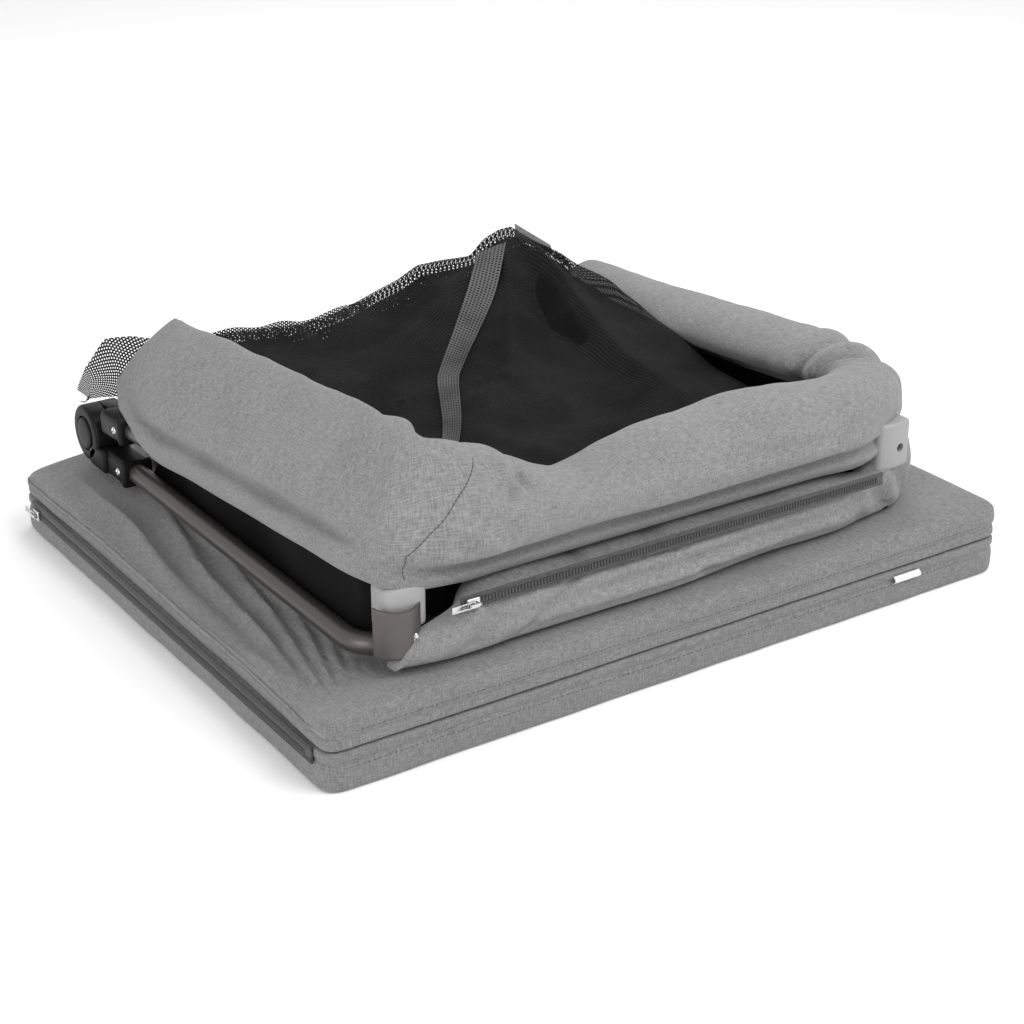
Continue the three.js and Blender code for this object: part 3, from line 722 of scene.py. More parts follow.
# the right side's leg bracket: a plate along the rail, turned in at its front, with a notch
side_low, side_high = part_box("right_leg_bracket")
side_plate = bevelled_box("side_plate", side_low, side_high, 0.0008, 2)
turned = bevelled_box("turned_edge", (side_low.x - 0.030, side_low.y - 0.0022, side_low.z + 0.012),
                      (side_high.x, side_low.y, side_high.z + 0.011), 0.0009, 2)
hook_notch = 0.0042
notched(side_plate, (side_high.x, side_low.y + 0.020, side_low.z + 0.013), hook_notch, (0, math.pi / 2, 0))
notched(turned, (side_high.x - 0.011, side_low.y, side_high.z + 0.0095), hook_notch, (math.pi / 2, 0, 0))
bracket = joined("right_leg_hook", [side_plate, turned])
bpy.ops.object.shade_smooth_by_angle(angle=math.radians(35))
fitted(bracket, pale_plastic, "pale", "lower_frame", "right_leg_bracket")

# Screws.
# Plated pan-head screws with a cross recess, in the corner plates and the joint sockets.
def pan_head(name, centre, out, radius):
    """A low domed head with a cross cut in it, facing along out."""
    head = blank(bpy.ops.mesh.primitive_uv_sphere_add, name, segments=24, ring_count=12, radius=radius)
    points = points_of(head)
    flat = np.abs(points[:, 2]) * 0.55
    points[:, 2] = np.where(points[:, 2] > 0, flat, -0.0004)
    cross = (np.minimum(np.abs(points[:, 0]), np.abs(points[:, 1])) < radius * 0.16)
    cross &= (np.hypot(points[:, 0], points[:, 1]) < radius * 0.62) & (points[:, 2] > 0)
    points[cross, 2] -= 0.0008
    turn = Vector(out).to_track_quat("Z", "Y").to_matrix()
    move_points(head, points @ np.array(turn).T + np.array(centre))
    bpy.ops.object.shade_smooth_by_angle(angle=math.radians(50))
    return head


screws = [(f"lower_{word}_corner_screw_{k}", (0, -1, 0), "lower_frame")
          for _, word in sides for k in (1, 2)]
screws += [(f"{half}_{word}_joint_screw", (side, 0, 0), f"{half}_frame")
           for half, _ in halves for side, word in sides]
head_low, head_radius = 0.0018, 0.0034
for node, out, body in screws:
    low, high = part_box(node)
    centre = (low + high) / 2
    axis = 1 if out[1] else 0
    centre[axis] = low[axis] + head_low if out[axis] < 0 else high[axis] - head_low
    if node.startswith("lower_right_corner"):
        centre = centre + Vector((-0.012, 0.011, 0.004))
    fitted(pan_head(f"{node}_head", centre, out, head_radius), bright_steel, "steel", body, node)

# Collar.
# A padded sleeve of the heather cloth round the three upper rails: a tall band leaning inwards on
# the left, a soft roll across the front and down the right, and a hem sewn on below the rail.
def laid_grid(name, rows, columns, surface, wide, tall):
    """A flat grid whose squares are laid over a surface; the weave's map is wide by tall metres."""
    sheet = blank(bpy.ops.mesh.primitive_grid_add, name,
                  x_subdivisions=columns, y_subdivisions=rows, size=1.0)
    grid = points_of(sheet)
    u = np.clip(grid[:, 0] + 0.5, 0, 1)
    v = np.clip(grid[:, 1] + 0.5, 0, 1)
    move_points(sheet, surface(u, v))
    layer = sheet.data.uv_layers.active or sheet.data.uv_layers.new(name="cloth")
    corners = np.zeros(len(sheet.data.loops), int)
    sheet.data.loops.foreach_get("vertex_index", corners)
    flat = np.stack([u * wide, v * tall], 1)[corners]
    layer.data.foreach_set("uv", flat.astype(np.float32).ravel())
    return sheet


def through(keys, at):
    """Smooth values through key rows at rising places."""
    places = np.array([k[0] for k in keys], float)
    rows = np.array([k[1] for k in keys], float)
    flat = rows.reshape(len(rows), -1)
    span = np.diff(places)[:, None]
    slope = np.diff(flat, axis=0) / span
    middle = np.vstack([slope[:1], (slope[1:] + slope[:-1]) / 2, slope[-1:]])
    k = np.clip(np.searchsorted(places, at, side="right") - 1, 0, len(places) - 2)
    h = (places[k + 1] - places[k])[:, None]
    t = ((at - places[k])[:, None]) / h
    a, b = flat[k], flat[k + 1]
    ma, mb = middle[k] * h, middle[k + 1] * h
    value = ((2 * t ** 3 - 3 * t ** 2 + 1) * a + (t ** 3 - 2 * t ** 2 + t) * ma
             + (-2 * t ** 3 + 3 * t ** 2) * b + (t ** 3 - t ** 2) * mb)
    return value.reshape((len(at),) + rows.shape[1:])


def closed_curve(sections, shares):
    """A point on each closed smooth section, at its share of the way round."""
    n = sections.shape[1]
    places = (shares % 1.0) * n
    k = np.floor(places).astype(int) % n
    t = (places - np.floor(places))[:, None]
    row = np.arange(len(shares))
    p0, p1, p2, p3 = (sections[row, (k + d) % n] for d in (-1, 0, 1, 2))
    return 0.5 * ((2 * p1) + (p2 - p0) * t + (2 * p0 - 5 * p1 + 4 * p2 - p3) * t ** 2
                  + (3 * p1 - p0 - 3 * p2 + p3) * t ** 3)


def noises(x, y, z):
    return np.array([noise.noise(Vector(p)) for p in zip(x, y, z)])


def bell(value, middle, width):
    return np.exp(-((value - middle) / width) ** 2)


# sections of the sleeve: points (inwards, up) in millimetres about the rail, hem first
LEFT_END = [(4, 13), (0, 13), (-2, 15), (0, 20), (4, 28), (10, 38), (17, 49), (26, 61),
            (36, 73), (44, 79.5), (46, 76), (39, 66), (30, 54), (20, 41), (12, 29), (7, 18)]
LEFT = [(-3, -9.5), (-9, -6.5), (-11.5, 0), (-8.5, 7), (0.5, 11), (-1.5, 20), (8, 36), (20, 54),
        (34, 71), (45, 80.5), (50, 77), (44, 62), (31, 42), (19, 22), (11, 4), (5, -8)]
LEFT_CORNER = [(-4, -16), (-10.5, -11), (-13, -2), (-10, 6), (-4.5, 11), (-3, 21), (8, 37), (20, 54),
               (34, 70), (46, 79), (51, 75), (44, 58), (32, 40), (20, 20), (11, 4), (4, -14)]
CORNER_FRONT = [(-14, -23), (-18, -15), (-17, -8), (-20, 2), (-20, 18), (-16, 34), (-7, 50), (4, 64),
                (15, 74), (24, 77), (32, 70), (35, 52), (30, 33), (20, 14), (12, -6), (-2, -22)]
RIGHT_CORNER = [(-7, -18), (-9, -13), (-7, -8), (-10, -1), (-10, 11), (-7, 21), (1, 29), (12, 34),
                (27, 35), (41, 33), (51, 28), (55, 21), (48, 12), (33, 2), (18, -8), (2, -17)]
RIGHT = [(-8, -17), (-10, -10), (-9, -2), (-11, 6), (-10, 18), (-5, 30), (4, 38), (16, 43),
         (31, 43), (46, 39), (58, 31), (62, 22), (54, 13), (36, 6), (18, -4), (4, -16)]
RIGHT_RAISED = [(-5, 12), (-8, 13), (-10, 16), (-10, 21), (-8, 28), (-3, 35), (5, 40), (16, 43),
                (30, 43), (43, 39), (54, 32), (58, 24), (50, 18), (34, 15), (18, 13), (3, 12)]
RIGHT_END = [(-4, 14), (-8, 15), (-12, 18), (-13, 22), (-11, 29), (-5, 36), (4, 41), (16, 44),
             (28, 42), (40, 37), (48, 30), (50, 24), (44, 19), (30, 16), (16, 14), (4, 13)]


def front_roll(height, overhang):
    """The front roll at a height above the rail: it hangs out over the hem."""
    return [(-10, -31), (-16, -23.5), (-12, -15.5), (-27 - overhang, -9), (-30 - overhang, 0.26 * height),
            (-24, 0.56 * height), (-13, 0.84 * height), (2, 0.98 * height), (16, height), (28, 0.88 * height),
            (37, 0.68 * height), (39, 0.42 * height), (32, 0.1 * height), (22, -6), (12, -14), (-1, -29)]


bend = bend_radius * (1 - math.sqrt(0.5))
right_bend = right_bend_radius * (1 - math.sqrt(0.5))
left, right, front = -rail_x, rail_x, front_y
collar_points = [
    (left, 0.188, 1, 0, LEFT_END), (left, 0.092, 1, 0, LEFT), (left, 0.03, 1, 0, LEFT),
    (left, -0.07, 1, 0, LEFT), (left, -0.150, 1, 0, LEFT),
    (left + bend, front + bend, 0.83, 0.5, LEFT_CORNER), (-0.214, front, 0.95, 0.78, CORNER_FRONT),
    (-0.178, front, 0, 1, front_roll(64, 0)), (-0.145, front, 0, 1, front_roll(54, 1)),
    (-0.118, front, 0, 1, front_roll(39, 1)), (-0.098, front, 0, 1, front_roll(28, 0)),
    (-0.070, front, 0, 1, front_roll(19, -1)), (-0.048, front, 0, 1, front_roll(24, 0)),
    (-0.02, front, 0, 1, front_roll(33, 2)), (0.03, front, 0, 1, front_roll(37, 2)),
    (0.08, front, 0, 1, front_roll(41, 1)), (0.135, front, 0, 1, front_roll(37, -1)),
    (0.183, front, -0.05, 1, front_roll(36, -8)),
    (right - right_bend, front + right_bend, -0.75, 0.66, RIGHT_CORNER), (right, -0.145, -1, 0, RIGHT),
    (right, -0.06, -1, 0, RIGHT), (right, 0.03, -1, 0, RIGHT), (right, 0.11, -1, 0, RIGHT),
    (right, 0.146, -1, 0, RIGHT_RAISED), (right, 0.198, -1, 0, RIGHT_END),
]


def runs(points):
    """How far along the line each key point is."""
    steps = [math.hypot(b[0] - a[0], b[1] - a[1]) for a, b in zip(points, points[1:])]
    return [0.0] + list(np.cumsum(steps))


collar_runs = runs(collar_points)
collar_run = collar_runs[-1]
seam_from, seam_rise, seam_slope = -0.221, 0.004, 1.25
left_front_key = 4
right_corner_key = next(k for k, point in enumerate(collar_points) if point[4] is RIGHT_CORNER)


def sleeve_at(key_points, key_runs, s, v):
    """The line's place and inward direction at s, and the cloth's distance inwards and up there."""
    base = through([(run, k[:4]) for run, k in zip(key_runs, key_points)], s)
    sections = through([(run, k[4]) for run, k in zip(key_runs, key_points)], s) * 0.001
    w, h = closed_curve(sections, v).T
    return base, w, h


def collar_surface(u, v):
    s = u * collar_run
    base, w, h = sleeve_at(collar_points, collar_runs, s, v)
    outer = np.clip(np.minimum(v, 0.72 - v) / 0.08, 0, 1)
    above = np.clip((h + 0.004) / 0.010, 0, 1)
    # soft unevenness of the padding, then gathers at the pinch and round the right corner
    soft = 0.0018 * noises(s * 20, h * 16, s * 0) + 0.0008 * noises(s * 55, h * 45, s * 0 + 5)
    front_x = base[:, 0] + base[:, 2] * w
    on_front = (base[:, 3] > 0.9)
    slant = h - 0.031 - 0.667 * (front_x + 0.137)
    dimple = bell(slant, 0, 0.0042) * bell(front_x, -0.136, 0.010)
    dimple += 0.7 * bell(front_x + 0.3 * h, -0.117, 0.0028) * bell(h, 0.031, 0.007)
    knuckle = bell(front_x, -0.139, 0.007) * bell(h, 0.041, 0.008)
    shift = soft * above + on_front * outer * (-0.0075 * dimple + 0.0035 * knuckle)
    swirl = 0.0022 * np.sin(front_x * 150 + h * 190 + 1.0)
    shift += swirl * bell(front_x, -0.165, 0.035) * bell(h, 0.012, 0.02) * on_front * outer
    long_fold = 0.0016 * np.sin(h * 330 + front_x * 26) * bell(front_x, 0.06, 0.09) * bell(h, 0.010, 0.016)
    shift += long_fold * on_front * outer
    bunch = s - collar_runs[right_corner_key]
    gather = np.sin(bunch * 170 + h * 40) + 0.6 * np.sin(bunch * 290 - h * 70 + 1.3)
    shift += 0.0034 * (gather - 1.1) * bell(bunch, 0.040, 0.050) * bell(h, 0.026, 0.022) * above
    tuck = bell(bunch - 0.35 * (h - 0.03), 0.014, 0.0045) + bell(bunch + 0.5 * (h - 0.03), 0.060, 0.004)
    shift -= 0.0050 * tuck * above * (w > 0.004)
    shift += 0.0012 * np.sin(s * 70 + h * 60) * (s < collar_runs[left_front_key]) * outer * bell(h, 0.035, 0.03)
    # the corner seam draws the cloth in along one line
    seam_x = seam_from + np.maximum(h - seam_rise, 0) * seam_slope
    shift -= 0.0016 * bell(front_x, seam_x, 0.0020) * (base[:, 3] > 0.45) * outer * (front_x < -0.1)
    length = np.hypot(w, h - 0.012) + 1e-6
    w = w + shift * w / length
    h = h + shift * (h - 0.012) / length
    x = base[:, 0] + base[:, 2] * w
    y = base[:, 1] + base[:, 3] * w
    # the open ends are cut to a curve
    near_start = np.clip(1 - s / 0.070, 0, 1) ** 1.5
    open_edge = np.interp(h, [0.004, 0.014, 0.030, 0.055, 0.080], [0.130, 0.160, 0.182, 0.170, 0.147])
    y = y + near_start * (open_edge - collar_points[0][1])
    return np.stack([x, y, upper_z + h], 1)


collar = laid_grid("collar_sleeve", 96, 420, collar_surface, collar_run, 0.26)
facing_outwards(collar, gap=0.00015, fill=True)
smoothed(collar)
tilted(collar)
fitted(collar, collar_cloth, "heather", "upper_frame", "collar_left", "collar_front", "collar_right")

# the corner seam's stitches
seam_places, seam_facings = [], []
collar_skin = surface_of(collar)
for step in np.linspace(0.0, 1.0, 60):
    h = -0.016 + 0.070 * step
    spot = Vector((seam_from + max(h - seam_rise, 0) * seam_slope, front, upper_z + h))
    spot = tilting @ spot
    hit, normal, _, _ = collar_skin.ray_cast(spot + Vector((0, -0.08, 0)), Vector((0, 1, 0)))
    if hit is not None:
        seam_places.append(hit + Vector((0, -0.0001, 0)))
        seam_facings.append(normal)
corner_stitches = stitch_row("collar_corner_stitches", seam_places, seam_facings,
                             length=0.0036, pitch=0.0034, thick=0.0006)
fitted(corner_stitches, thread, "tape", "upper_frame")

# Front band.
# A loose roll of the heather cloth round the lower front rail and its right corner, zipped along
# its upper edge; its left end is drawn to a twisted point under the corner plate.
BAND_TIP = [(-12, -10), (-17, -10), (-21, -7), (-20, -3), (-16, -1), (-12, -2), (-10, -5), (-10, -9)]
BAND_START = [(-8, -11), (-20, -11), (-26, -5), (-26, 5), (-21, 12), (-15, 11), (-10, 2), (-8, -8)]
BAND_LEFT = [(-2, -11), (-23, -11), (-31, -4), (-31, 9), (-24, 20), (-14, 20), (-9, 9), (-6, -7)]
BAND = [(14, -11), (-21, -11), (-29, -3), (-29, 9), (-24, 22), (-10, 29), (12, 26), (20, 8)]
BAND_RIGHT = [(16, -11), (-13, -11), (-22, -4), (-24, 9), (-20, 22), (-8, 29), (12, 25), (20, 8)]
BAND_CORNER = [(12, -11), (-8, -11), (-15, -4), (-16, 8), (-13, 21), (-3, 27), (9, 22), (14, 6)]
BAND_BUNCH = [(10, -11), (-8, -11), (-15, -4), (-17, 12), (-18, 30), (-11, 44), (3, 43), (10, 14)]
BAND_END = [(6, -11), (-8, -11), (-15, -4), (-15, 8), (-10, 16), (-2, 18), (6, 14), (10, 4)]
band_points = [
    (-0.234, front, 0, 1, BAND_TIP), (-0.214, front, 0, 1, BAND_START),
    (-0.188, front, 0, 1, BAND_LEFT), (-0.155, front, 0, 1, BAND), (-0.08, front, 0, 1, BAND),
    (0.0, front, 0, 1, BAND), (0.08, front, 0, 1, BAND_RIGHT), (0.15, front, 0, 1, BAND_RIGHT),
    (0.187, front, 0, 1, BAND_CORNER), (0.208, front + 0.003, -0.3, 0.95, BAND_BUNCH),
    (right - right_bend, front + right_bend, -0.707, 0.707, BAND_BUNCH),
    (right, -0.155, -1, 0, BAND_CORNER), (right, -0.115, -1, 0, BAND_END),
]
band_runs = runs(band_points)
band_run = band_runs[-1]
band_foot = -0.0112
bunch_key = next(k for k, point in enumerate(band_points) if point[4] is BAND_BUNCH)


def band_surface(u, v):
    s = u * band_run
    base, w, h = sleeve_at(band_points, band_runs, s, v)
    x = base[:, 0] + base[:, 2] * w
    soft = 0.0015 * noises(s * 24, h * 30, s * 0 + 8) + 0.0008 * noises(s * 75, h * 60, s * 0 + 2)
    twist = 0.0042 * np.sin((x + 0.16) * 105 - h * 150) * bell(x, -0.185, 0.032)
    pleat = 0.0030 * bell(x - 1.6 * h, -0.128, 0.006) + 0.0022 * bell(x + 1.2 * h, 0.02, 0.010)
    long_fold = 0.0022 * np.sin(h * 420 + 1.0) * bell(x, 0.02, 0.13)
    gather = 0.0026 * (np.sin(s * 230 + h * 120) - 0.6) * bell(s, band_runs[bunch_key], 0.030)
    shift = (soft + twist - pleat + long_fold + gather) * np.clip((h + 0.010) / 0.006, 0, 1)
    middle = h - 0.006
    length = np.hypot(w, middle) + 1e-6
    w = w + shift * w / length
    h = np.maximum(h + shift * middle / length, band_foot)
    end = np.clip(np.minimum(s, band_run - s) / 0.008, 0, 1)
    h = band_foot + (h - band_foot) * (0.3 + 0.7 * end)
    return np.stack([base[:, 0] + base[:, 2] * w, base[:, 1] + base[:, 3] * w, lower_z + h], 1)


band = laid_grid("front_band_roll", 72, 300, band_surface, band_run, 0.13)
facing_outwards(band, gap=0.00015, fill=True)
smoothed(band)
fitted(band, collar_cloth, "heather", "lower_frame", "lower_front_band")

# Zips.
# Ribbed woven tape with a nylon coil down its middle and a plated slider with a hinged pull.
tape_cloth = cloth_material("zip_tape", 0.095, 0.05, threads=900.0, slub=0.5)
coil_plastic = painted_metal("zip_coil", (0.045, 0.045, 0.046), 0.4, 0.0)


def zip_tape(name, low, high, out):
    ribs = [bevelled_box(name, low, high, 0.0003, 2)]
    front = low + Vector(out) * 0.0006
    for share in (0.08, 0.2, 0.8, 0.92):
        rib_z = low.z + (high.z - low.z) * share
        rib_low = Vector((front.x, front.y, rib_z - 0.0005))
        rib_high = Vector((high.x, high.y, rib_z + 0.0005))
        ribs.append(bevelled_box("rib", rib_low, rib_high, 0.0003, 2))
    tape = joined(name, ribs)
    cloth_uv(tape)
    return tape


def zip_coil(name, start, direction, out, length, pitch=0.0026):
    """The coil's turns: small rounded teeth, one mesh."""
    tooth = bevelled_box("tooth", (-0.0008, -0.0021, -0.0007), (0.0008, 0.0021, 0.0007), 0.0005, 2)
    direction, out = Vector(direction), Vector(out)
    basis = np.array([direction, out.cross(direction), out])
    centres = [np.array(start + direction * (k * pitch)) for k in range(int(length / pitch))]
    return strung(name, tooth, centres, [basis] * len(centres))


def placed_on_zip(piece, node, direction, out):
    """Moves a piece made at the origin to a node's middle, along the zip and facing out."""
    centre = sum(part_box(node), Vector()) / 2
    direction, out = Vector(direction), Vector(out)
    turn = Matrix((direction, out.cross(direction), out)).transposed().to_4x4()
    piece.data.transform(Matrix.Translation(centre) @ turn)
    return piece


def zip_slider(name, node, direction, out):
    """A rounded slider body, waisted in the middle, with an arch for its pull."""
    parts = [bevelled_box("body", (-0.005, -0.004, -0.003), (0.005, 0.004, 0.0002), 0.0009, 3)]
    for x_low, x_high, foot, width in ((-0.0046, -0.0032, 0.0, 0.0004), (0.0032, 0.0046, 0.0, 0.0004),
                                       (-0.0046, 0.0046, 0.0018, 0.0005)):
        parts.append(bevelled_box("arch", (x_low, -0.0012, foot), (x_high, 0.0012, 0.0030), width, 2))
    return placed_on_zip(joined(name, parts), node, direction, out)


def zip_pull(name, node, direction, out):
    pull = bevelled_box(name, (-0.0060, -0.0026, -0.0005), (0.01225, 0.0026, 0.0005), 0.0004, 2)
    hole = bevelled_box("hole", (0.0048, -0.0015, -0.003), (0.0114, 0.0015, 0.003), 0.0006, 2)
    applied(pull, "BOOLEAN", object=hole)
    bpy.data.objects.remove(hole)
    return placed_on_zip(pull, node, direction, out)


coil_end, coil_lift = 0.004, 0.0002
for word, body, direction, out in (
    ("front", "lower_frame", (1, 0, 0), (0, -1, 0)),
    ("mattress", "mattress_bottom", (0, -1, 0), (-1, 0, 0)),
):
    low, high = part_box(f"{word}_zip_tape")
    if word == "mattress":
        high.z += 0.0030
    tape = zip_tape(f"{word}_zip_woven_tape", low, high, out)
    fitted(tape, tape_cloth, "tape", body, f"{word}_zip_tape")
    middle = sum(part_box(f"{word}_zip_tape"), Vector()) / 2
    if word == "front":
        start = Vector((low.x + coil_end, low.y - coil_lift, middle.z))
        length = high.x - low.x - 2 * coil_end
    else:
        start = Vector((low.x - coil_lift, high.y - coil_end, middle.z))
        length = high.y - low.y - 2 * coil_end
    fitted(zip_coil(f"{word}_zip_coil", start, direction, out, length), coil_plastic, "tape", body)
    for make, node, name in ((zip_slider, f"{word}_zip_slider", f"{word}_zip_runner"),
                             (zip_pull, f"{word}_zip_pull", f"{word}_zip_tab")):
        fitted(make(name, node, direction, out), bright_steel, "steel", f"{node}_body", node)

# Care label.
# A blank white woven tab sewn into the front seam of the lower panel.
label_cloth = cloth_material("label_weave", 0.85, 0.72, threads=2500.0, slub=0.3)
low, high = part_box("care_label")
label = laid_grid("care_label_tab", 8, 16,
                  lambda u, v: np.stack([low.x - 0.009 + (high.x - low.x) * u,
                                         low.y + 0.0006 - 0.0030 * np.sin(v * 3.1),
                                         high.z - 0.0040 + 0.0066 * v], 1),
                  0.026, 0.0066)
applied(label, "SOLIDIFY", thickness=0.0004)
bpy.ops.object.shade_smooth()
fitted(label, label_cloth, "label", "mattress_bottom", "care_label")

# Mesh basket.
# Black knitted netting, so open that single layers show what is behind them. It hangs from the
# rails in use; folded, it is gathered in loose heaps inside the ring.
net_group, given, result = group_with(
    "round_hole_net",
    [("Vector", "NodeSocketVector", None), ("Pitch", "NodeSocketFloat", 0.0026),
     ("Open", "NodeSocketFloat", 0.9)],
    [("Thread", "NodeSocketFloat"), ("Height", "NodeSocketFloat")],
)
wave_number = maths(net_group, "DIVIDE", 4 * math.pi / math.sqrt(3), given.outputs["Pitch"])
total = None
for turn in (0.0, math.pi / 3, -math.pi / 3):
    spot = put(net_group, "ShaderNodeVectorMath",
               {0: given.outputs["Vector"], 1: (math.cos(turn), math.sin(turn), 0.0)},
               operation="DOT_PRODUCT")
    wave = maths(net_group, "COSINE", maths(net_group, "MULTIPLY", spot.outputs["Value"], wave_number))
    total = wave if total is None else maths(net_group, "ADD", total, wave)
edge = maths(net_group, "ADD", given.outputs["Open"], 0.5)
hole = put(net_group, "ShaderNodeMapRange", {0: total, 1: given.outputs["Open"], 2: edge, 3: 1.0, 4: 0.0})
net_group.links.new(hole.outputs[0], result.inputs["Thread"])
net_group.links.new(hole.outputs[0], result.inputs["Height"])


def net_material(name, dark, pale, opening, pitch=0.0026):
    material, tree, shader = new_material(name, roughness=0.85)
    shader.inputs["Specular IOR Level"].default_value = 0.15
    knit = put(tree, "ShaderNodeGroup", node_tree=net_group)
    knit.inputs["Pitch"].default_value = pitch
    knit.inputs["Open"].default_value = opening
    tree.links.new(put(tree, "ShaderNodeUVMap").outputs[0], knit.inputs["Vector"])
    if opening < 2.4:
        tree.links.new(knit.outputs["Thread"], shader.inputs["Alpha"])
    place = put(tree, "ShaderNodeTexCoord").outputs["Object"]
    cloudy = put(tree, "ShaderNodeTexNoise", {"Vector": place, "Scale": 18.0, "Detail": 3.0})
    spread = put(tree, "ShaderNodeMapRange", {0: cloudy.outputs[0], 1: 0.35, 2: 0.65})
    tint = put(tree, "ShaderNodeMix", {0: spread.outputs[0], 6: tuple(dark) + (1,), 7: tuple(pale) + (1,)},
               data_type="RGBA")
    tree.links.new(tint.outputs[2], shader.inputs["Base Color"])
    bump = put(tree, "ShaderNodeBump",
               {"Height": knit.outputs["Height"], "Distance": 0.0004, "Strength": 0.4})
    tree.links.new(bump.outputs[0], shader.inputs["Normal"])
    return material


net_black = net_material("net_black", (0.008, 0.008, 0.008), (0.018, 0.017, 0.017), 0.05)
net_light = net_material("net_light", (0.060, 0.060, 0.060), (0.11, 0.11, 0.11), 0.6, pitch=0.0030)
net_dense = net_material("net_dense", (0.002, 0.002, 0.002), (0.004, 0.004, 0.004), 1.6, pitch=0.0022)
black_cloth = net_material("black_cloth", (0.003, 0.003, 0.003), (0.006, 0.006, 0.006), 2.6)

# the back edge's outline when the basket is gathered: places across, and heights
ridge_x = np.array([-205, -151, -115, -70, -41, -26, -2, 23, 43, 65,
                    96, 109, 124, 138, 150, 168, 180, 186, 196]) * 0.001
ridge_z = np.array([150, 152, 150, 145, 149, 153, 161, 168, 178, 179,
                    178, 189, 195, 196, 186, 174, 165, 145, 138]) * 0.001
heap_back, heap_front = 0.1985, -0.170


def heap_surface(x0, x1, back_y, drop, seed, crumple):
    def surface(u, v):
        x = x0 + (x1 - x0) * u
        t = v
        y = heap_front + (back_y - heap_front) * t
        top = np.interp(x, ridge_x, ridge_z)
        low = 0.124 - 0.012 * bell(x, -0.02, 0.14)
        rise = np.clip(t, 0, 1) ** 1.25
        z = low + (top - low) * rise - drop
        # folds run from the peak down to the front left and the right
        angle = np.arctan2(y - 0.205, x - 0.135)
        away = np.hypot(y - 0.205, x - 0.135)
        pleat = 1 - np.abs(np.sin(angle * 6.5 + seed + 1.2 * noises(x * 5, y * 5, x * 0 + seed)))
        strength = np.clip(away / 0.06, 0, 1) * np.clip((1 - t) / 0.10, 0, 1) * np.clip(t / 0.2, 0, 1)
        z = z + crumple * (0.013 * (pleat - 0.5) * strength)
        lumps = 0.009 * noises(x * 11 + seed, y * 11, x * 0 + seed)
        z = z + crumple * (lumps * np.clip((1 - t) / 0.08, 0, 1))
        z = z + crumple * 0.0030 * noises(x * 34 + seed, y * 34, x * 0) * np.clip((1 - t) / 0.05, 0, 1)
        # the back hangs down behind the ridge
        behind = np.clip((t - 0.985) / 0.015, 0, 1)
        y = y - 0.003 * behind
        z = z - (top - 0.100) * behind ** 2 * 0.92
        side = np.minimum(u, 1 - u)
        z = z - 0.030 * np.clip(1 - side / 0.04, 0, 1) ** 2
        return np.stack([x, y, z], 1)
    return surface


def heap_sheet(name, x0, x1, back_y, drop, seed, crumple, material, cells):
    sheet = laid_grid(name, cells, cells, heap_surface(x0, x1, back_y, drop, seed, crumple),
                      (x1 - x0) * 1.05, 0.46)
    smoothed(sheet)
    fitted(sheet, material, "net", "upper_frame")
    return sheet


net_top = heap_sheet("net_top_layer", -0.203, 0.196, heap_back, drop=0.0, seed=1.3, crumple=1.0,
                     material=net_black, cells=150)
net_under = heap_sheet("net_under_layer", -0.200, 0.192, heap_back - 0.004, drop=0.007, seed=1.6,
                       crumple=0.85, material=net_dense, cells=110)
net_deep = heap_sheet("net_deep_layer", -0.198, 0.190, heap_back - 0.012, drop=0.014, seed=8.7,
                      crumple=0.6, material=black_cloth, cells=80)
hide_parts("net_upper")

# a single layer stands up behind the left sleeve's open end and along the back
def lobe_surface(u, v):
    shares = [0, 0.2, 0.4, 0.55, 0.7, 0.85, 1.0]
    along = np.interp(u, shares, [-0.270, -0.262, -0.240, -0.220, -0.199, -0.165, -0.150])
    top = np.interp(u, shares, [0.130, 0.146, 0.164, 0.165, 0.159, 0.153, 0.150])
    low = np.interp(u, [0, 0.3, 0.6, 1.0], [0.122, 0.116, 0.118, 0.120])
    bulge = 0.010 * np.sin(v * math.pi) + 0.004 * np.sin(u * 17 + v * 4)
    y = 0.194 - 0.004 * np.cos(u * 9) - bulge * (1 - 0.4 * v)
    z = low + (top - low) * v
    return np.stack([along + 0.004 * np.sin(v * 3.0), y, z], 1)


lobe_net = net_material("net_single_layer", (0.010, 0.010, 0.010), (0.02, 0.02, 0.02), 0.8, pitch=0.0026)
lobe = laid_grid("net_side_lobe", 24, 60, lobe_surface, 0.14, 0.050)
smoothed(lobe)
fitted(lobe, lobe_net, "net", "upper_frame")


def edge_strip_surface(u, v):
    x = -0.165 + 0.165 * u
    top = np.interp(x, ridge_x, ridge_z) + 0.0015 * np.sin(x * 130)
    return np.stack([x, 0.1955 + 0.0016 * np.sin(x * 60), top - 0.012 + (0.0135 - 0.008 * u ** 8) * v], 1)


edge_strip = laid_grid("net_back_edge", 6, 70, edge_strip_surface, 0.19, 0.014)
smoothed(edge_strip)
fitted(edge_strip, lobe_net, "net", "upper_frame")

# a narrow pale strip of reinforcing net runs from the peak down to the front
net_skin = surface_of(net_top)


def on_net(x, y, above):
    hit = net_skin.ray_cast(Vector((x, y, 0.4)), Vector((0, 0, -1)))[0]
    return (hit.z if hit is not None else 0.13) + above


def strip_heights():
    """The net's height under the strip at its two edges, evened out along its length."""
    rows = np.linspace(0, 1, 91)
    sides = []
    for side in (-0.5, 0.5):
        spots = [strip_spot(side * near, rows) for near in (0.3, 0.7, 1.1)]
        heights = np.max([[on_net(a, b, 0.0025) for a, b in zip(x, y)] for x, y in spots], axis=0)
        even = np.ones(11) / 11
        sides.append(np.convolve(np.pad(heights, 5, mode="edge"), even, mode="valid"))
    return rows, sides


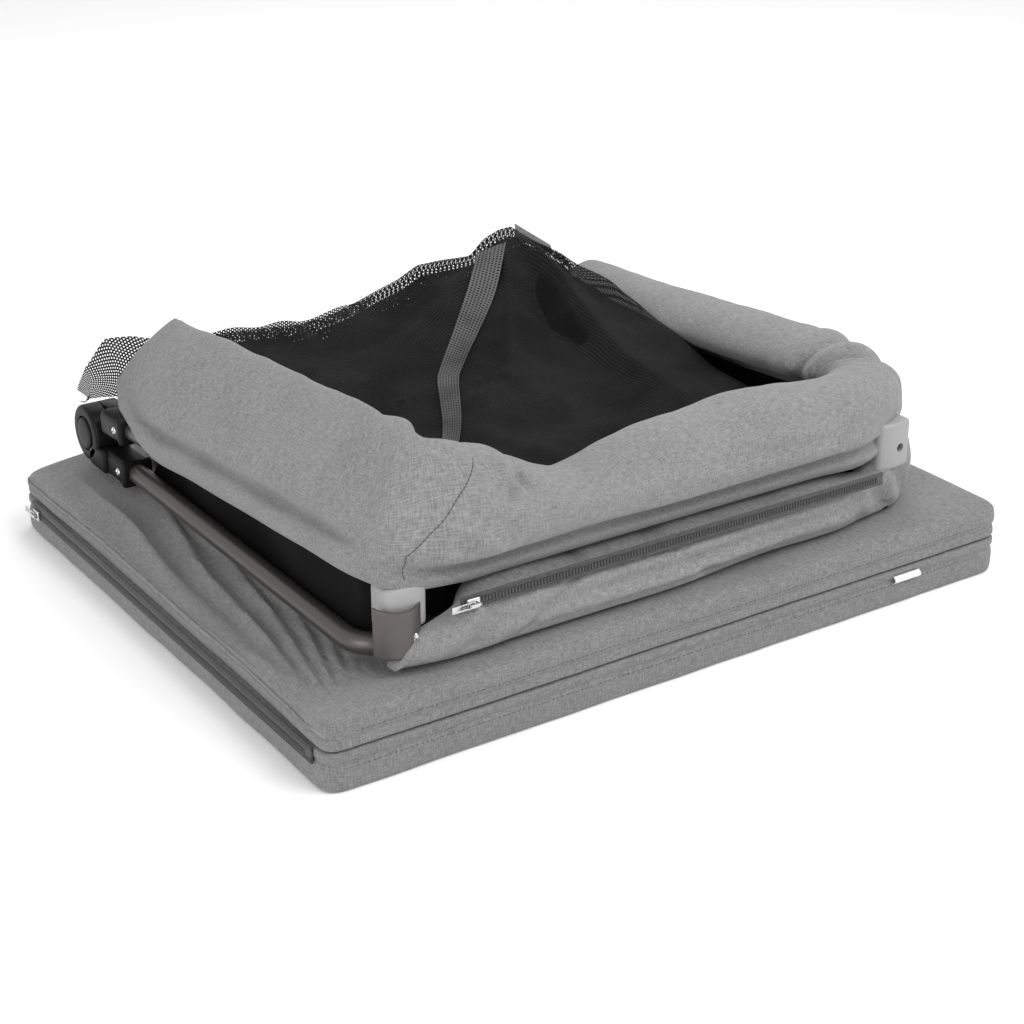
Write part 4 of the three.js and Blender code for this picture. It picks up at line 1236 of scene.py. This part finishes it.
def strip_spot(side, v):
    x = np.interp(v, [0, 0.5, 1], [-0.105, -0.012, 0.106])
    y = np.interp(v, [0, 0.5, 1], [-0.085, 0.050, 0.176])
    wide = np.interp(v, [0, 0.4, 1], [0.012, 0.016, 0.026])
    sway = 0.004 * np.sin(v * 9.0)
    return x + sway + side * wide * 0.86, y - side * wide * 0.5


strip_rows, (strip_left, strip_right) = strip_heights()


def strip_surface(u, v):
    px, py = strip_spot(u - 0.5, v)
    z = (1 - u) * np.interp(v, strip_rows, strip_left) + u * np.interp(v, strip_rows, strip_right)
    return np.stack([px, py, z], 1)


strip = laid_grid("net_pale_strip", 90, 8, strip_surface, 0.020, 0.34)
smoothed(strip)
fitted(strip, net_light, "net", "upper_frame")


def patch_surface(u, v):
    ends = [0.143, 0.181]
    x = ends[0] + (ends[1] - ends[0]) * u
    tall = np.interp(x, ends, [0.1955, 0.1690])
    z = tall + (np.interp(x, ends, [0.182, 0.163]) - tall) * v
    return np.stack([x, 0.1945 - 0.002 * np.sin(v * 3) - 0.001 * u, z], 1)


patch = laid_grid("basket_corner_tab", 8, 16, patch_surface, 0.036, 0.012)
applied(patch, "SOLIDIFY", thickness=0.0012)
smoothed(patch)
fitted(patch, cover_cloth_painted_shade, "heather", "upper_frame")

low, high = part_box("base_cloth")
base_cloth = laid_grid("base_cloth_sheet", 40, 44,
                       lambda u, v: np.stack([low.x + (high.x - low.x) * u, low.y + (high.y - low.y) * v,
                                              low.z + 0.0016 + 0.0009 * np.sin(u * 23 + v * 9)], 1),
                       (high.x - low.x), (high.y - low.y))
fitted(base_cloth, black_cloth, "net", "lower_frame", "base_cloth")

# Cloth wall inside the lower rails.
# The black side wall of the basket, sewn round the lower rails and folded up against the inside of
# the upper ones, so it is lowest at the fold joints and highest at the front.
wall_points = [(-0.2385, 0.140), (-0.2385, -0.175), (-0.216, -0.198),
               (0.216, -0.198), (0.2385, -0.175), (0.2385, 0.140)]
wall_foot = 0.0622
wall_runs = runs(wall_points)


def wall_surface(u, v):
    at = u * wall_runs[-1]
    x = np.interp(at, wall_runs, [p[0] for p in wall_points])
    y = np.interp(at, wall_runs, [p[1] for p in wall_points])
    top = upper_z - 0.006 + math.tan(rest_tilt) * (fold.y - y)
    slack = 0.0035 * np.sin(at * 42 + v * 2.4) * np.sin(v * math.pi) + 0.008 * np.sin(v * math.pi)
    on_side = np.abs(x) > 0.23
    x = x - np.sign(x) * slack * on_side
    y = y + slack * ~on_side
    return np.stack([x, y, wall_foot + (top - wall_foot) * v], 1)


wall = laid_grid("basket_wall", 18, 240, wall_surface, wall_runs[-1], 0.06)
smoothed(wall)
fitted(wall, black_cloth, "net", "lower_frame", "net_lower")

# Fold web.
# A strip of the cover cloth joins the two mattress panels along their back edge.
web_lap, web_inset = 0.0065, 0.012
web_low, web_high = panel_high.z - web_lap, top_low.z + web_lap


def web_surface(u, v):
    x = panel_low.x + web_inset + (panel_high.x - panel_low.x - 2 * web_inset) * u
    y = panel_high.y + 0.0002 + 0.0006 * np.sin(v * math.pi)
    return np.stack([x, y, web_low + (web_high - web_low) * v], 1)


web = laid_grid("mattress_fold_web", 12, 120, web_surface, 0.56, 0.014)
smoothed(web)
give(web, cover_cloth_painted_shade)
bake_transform(web)
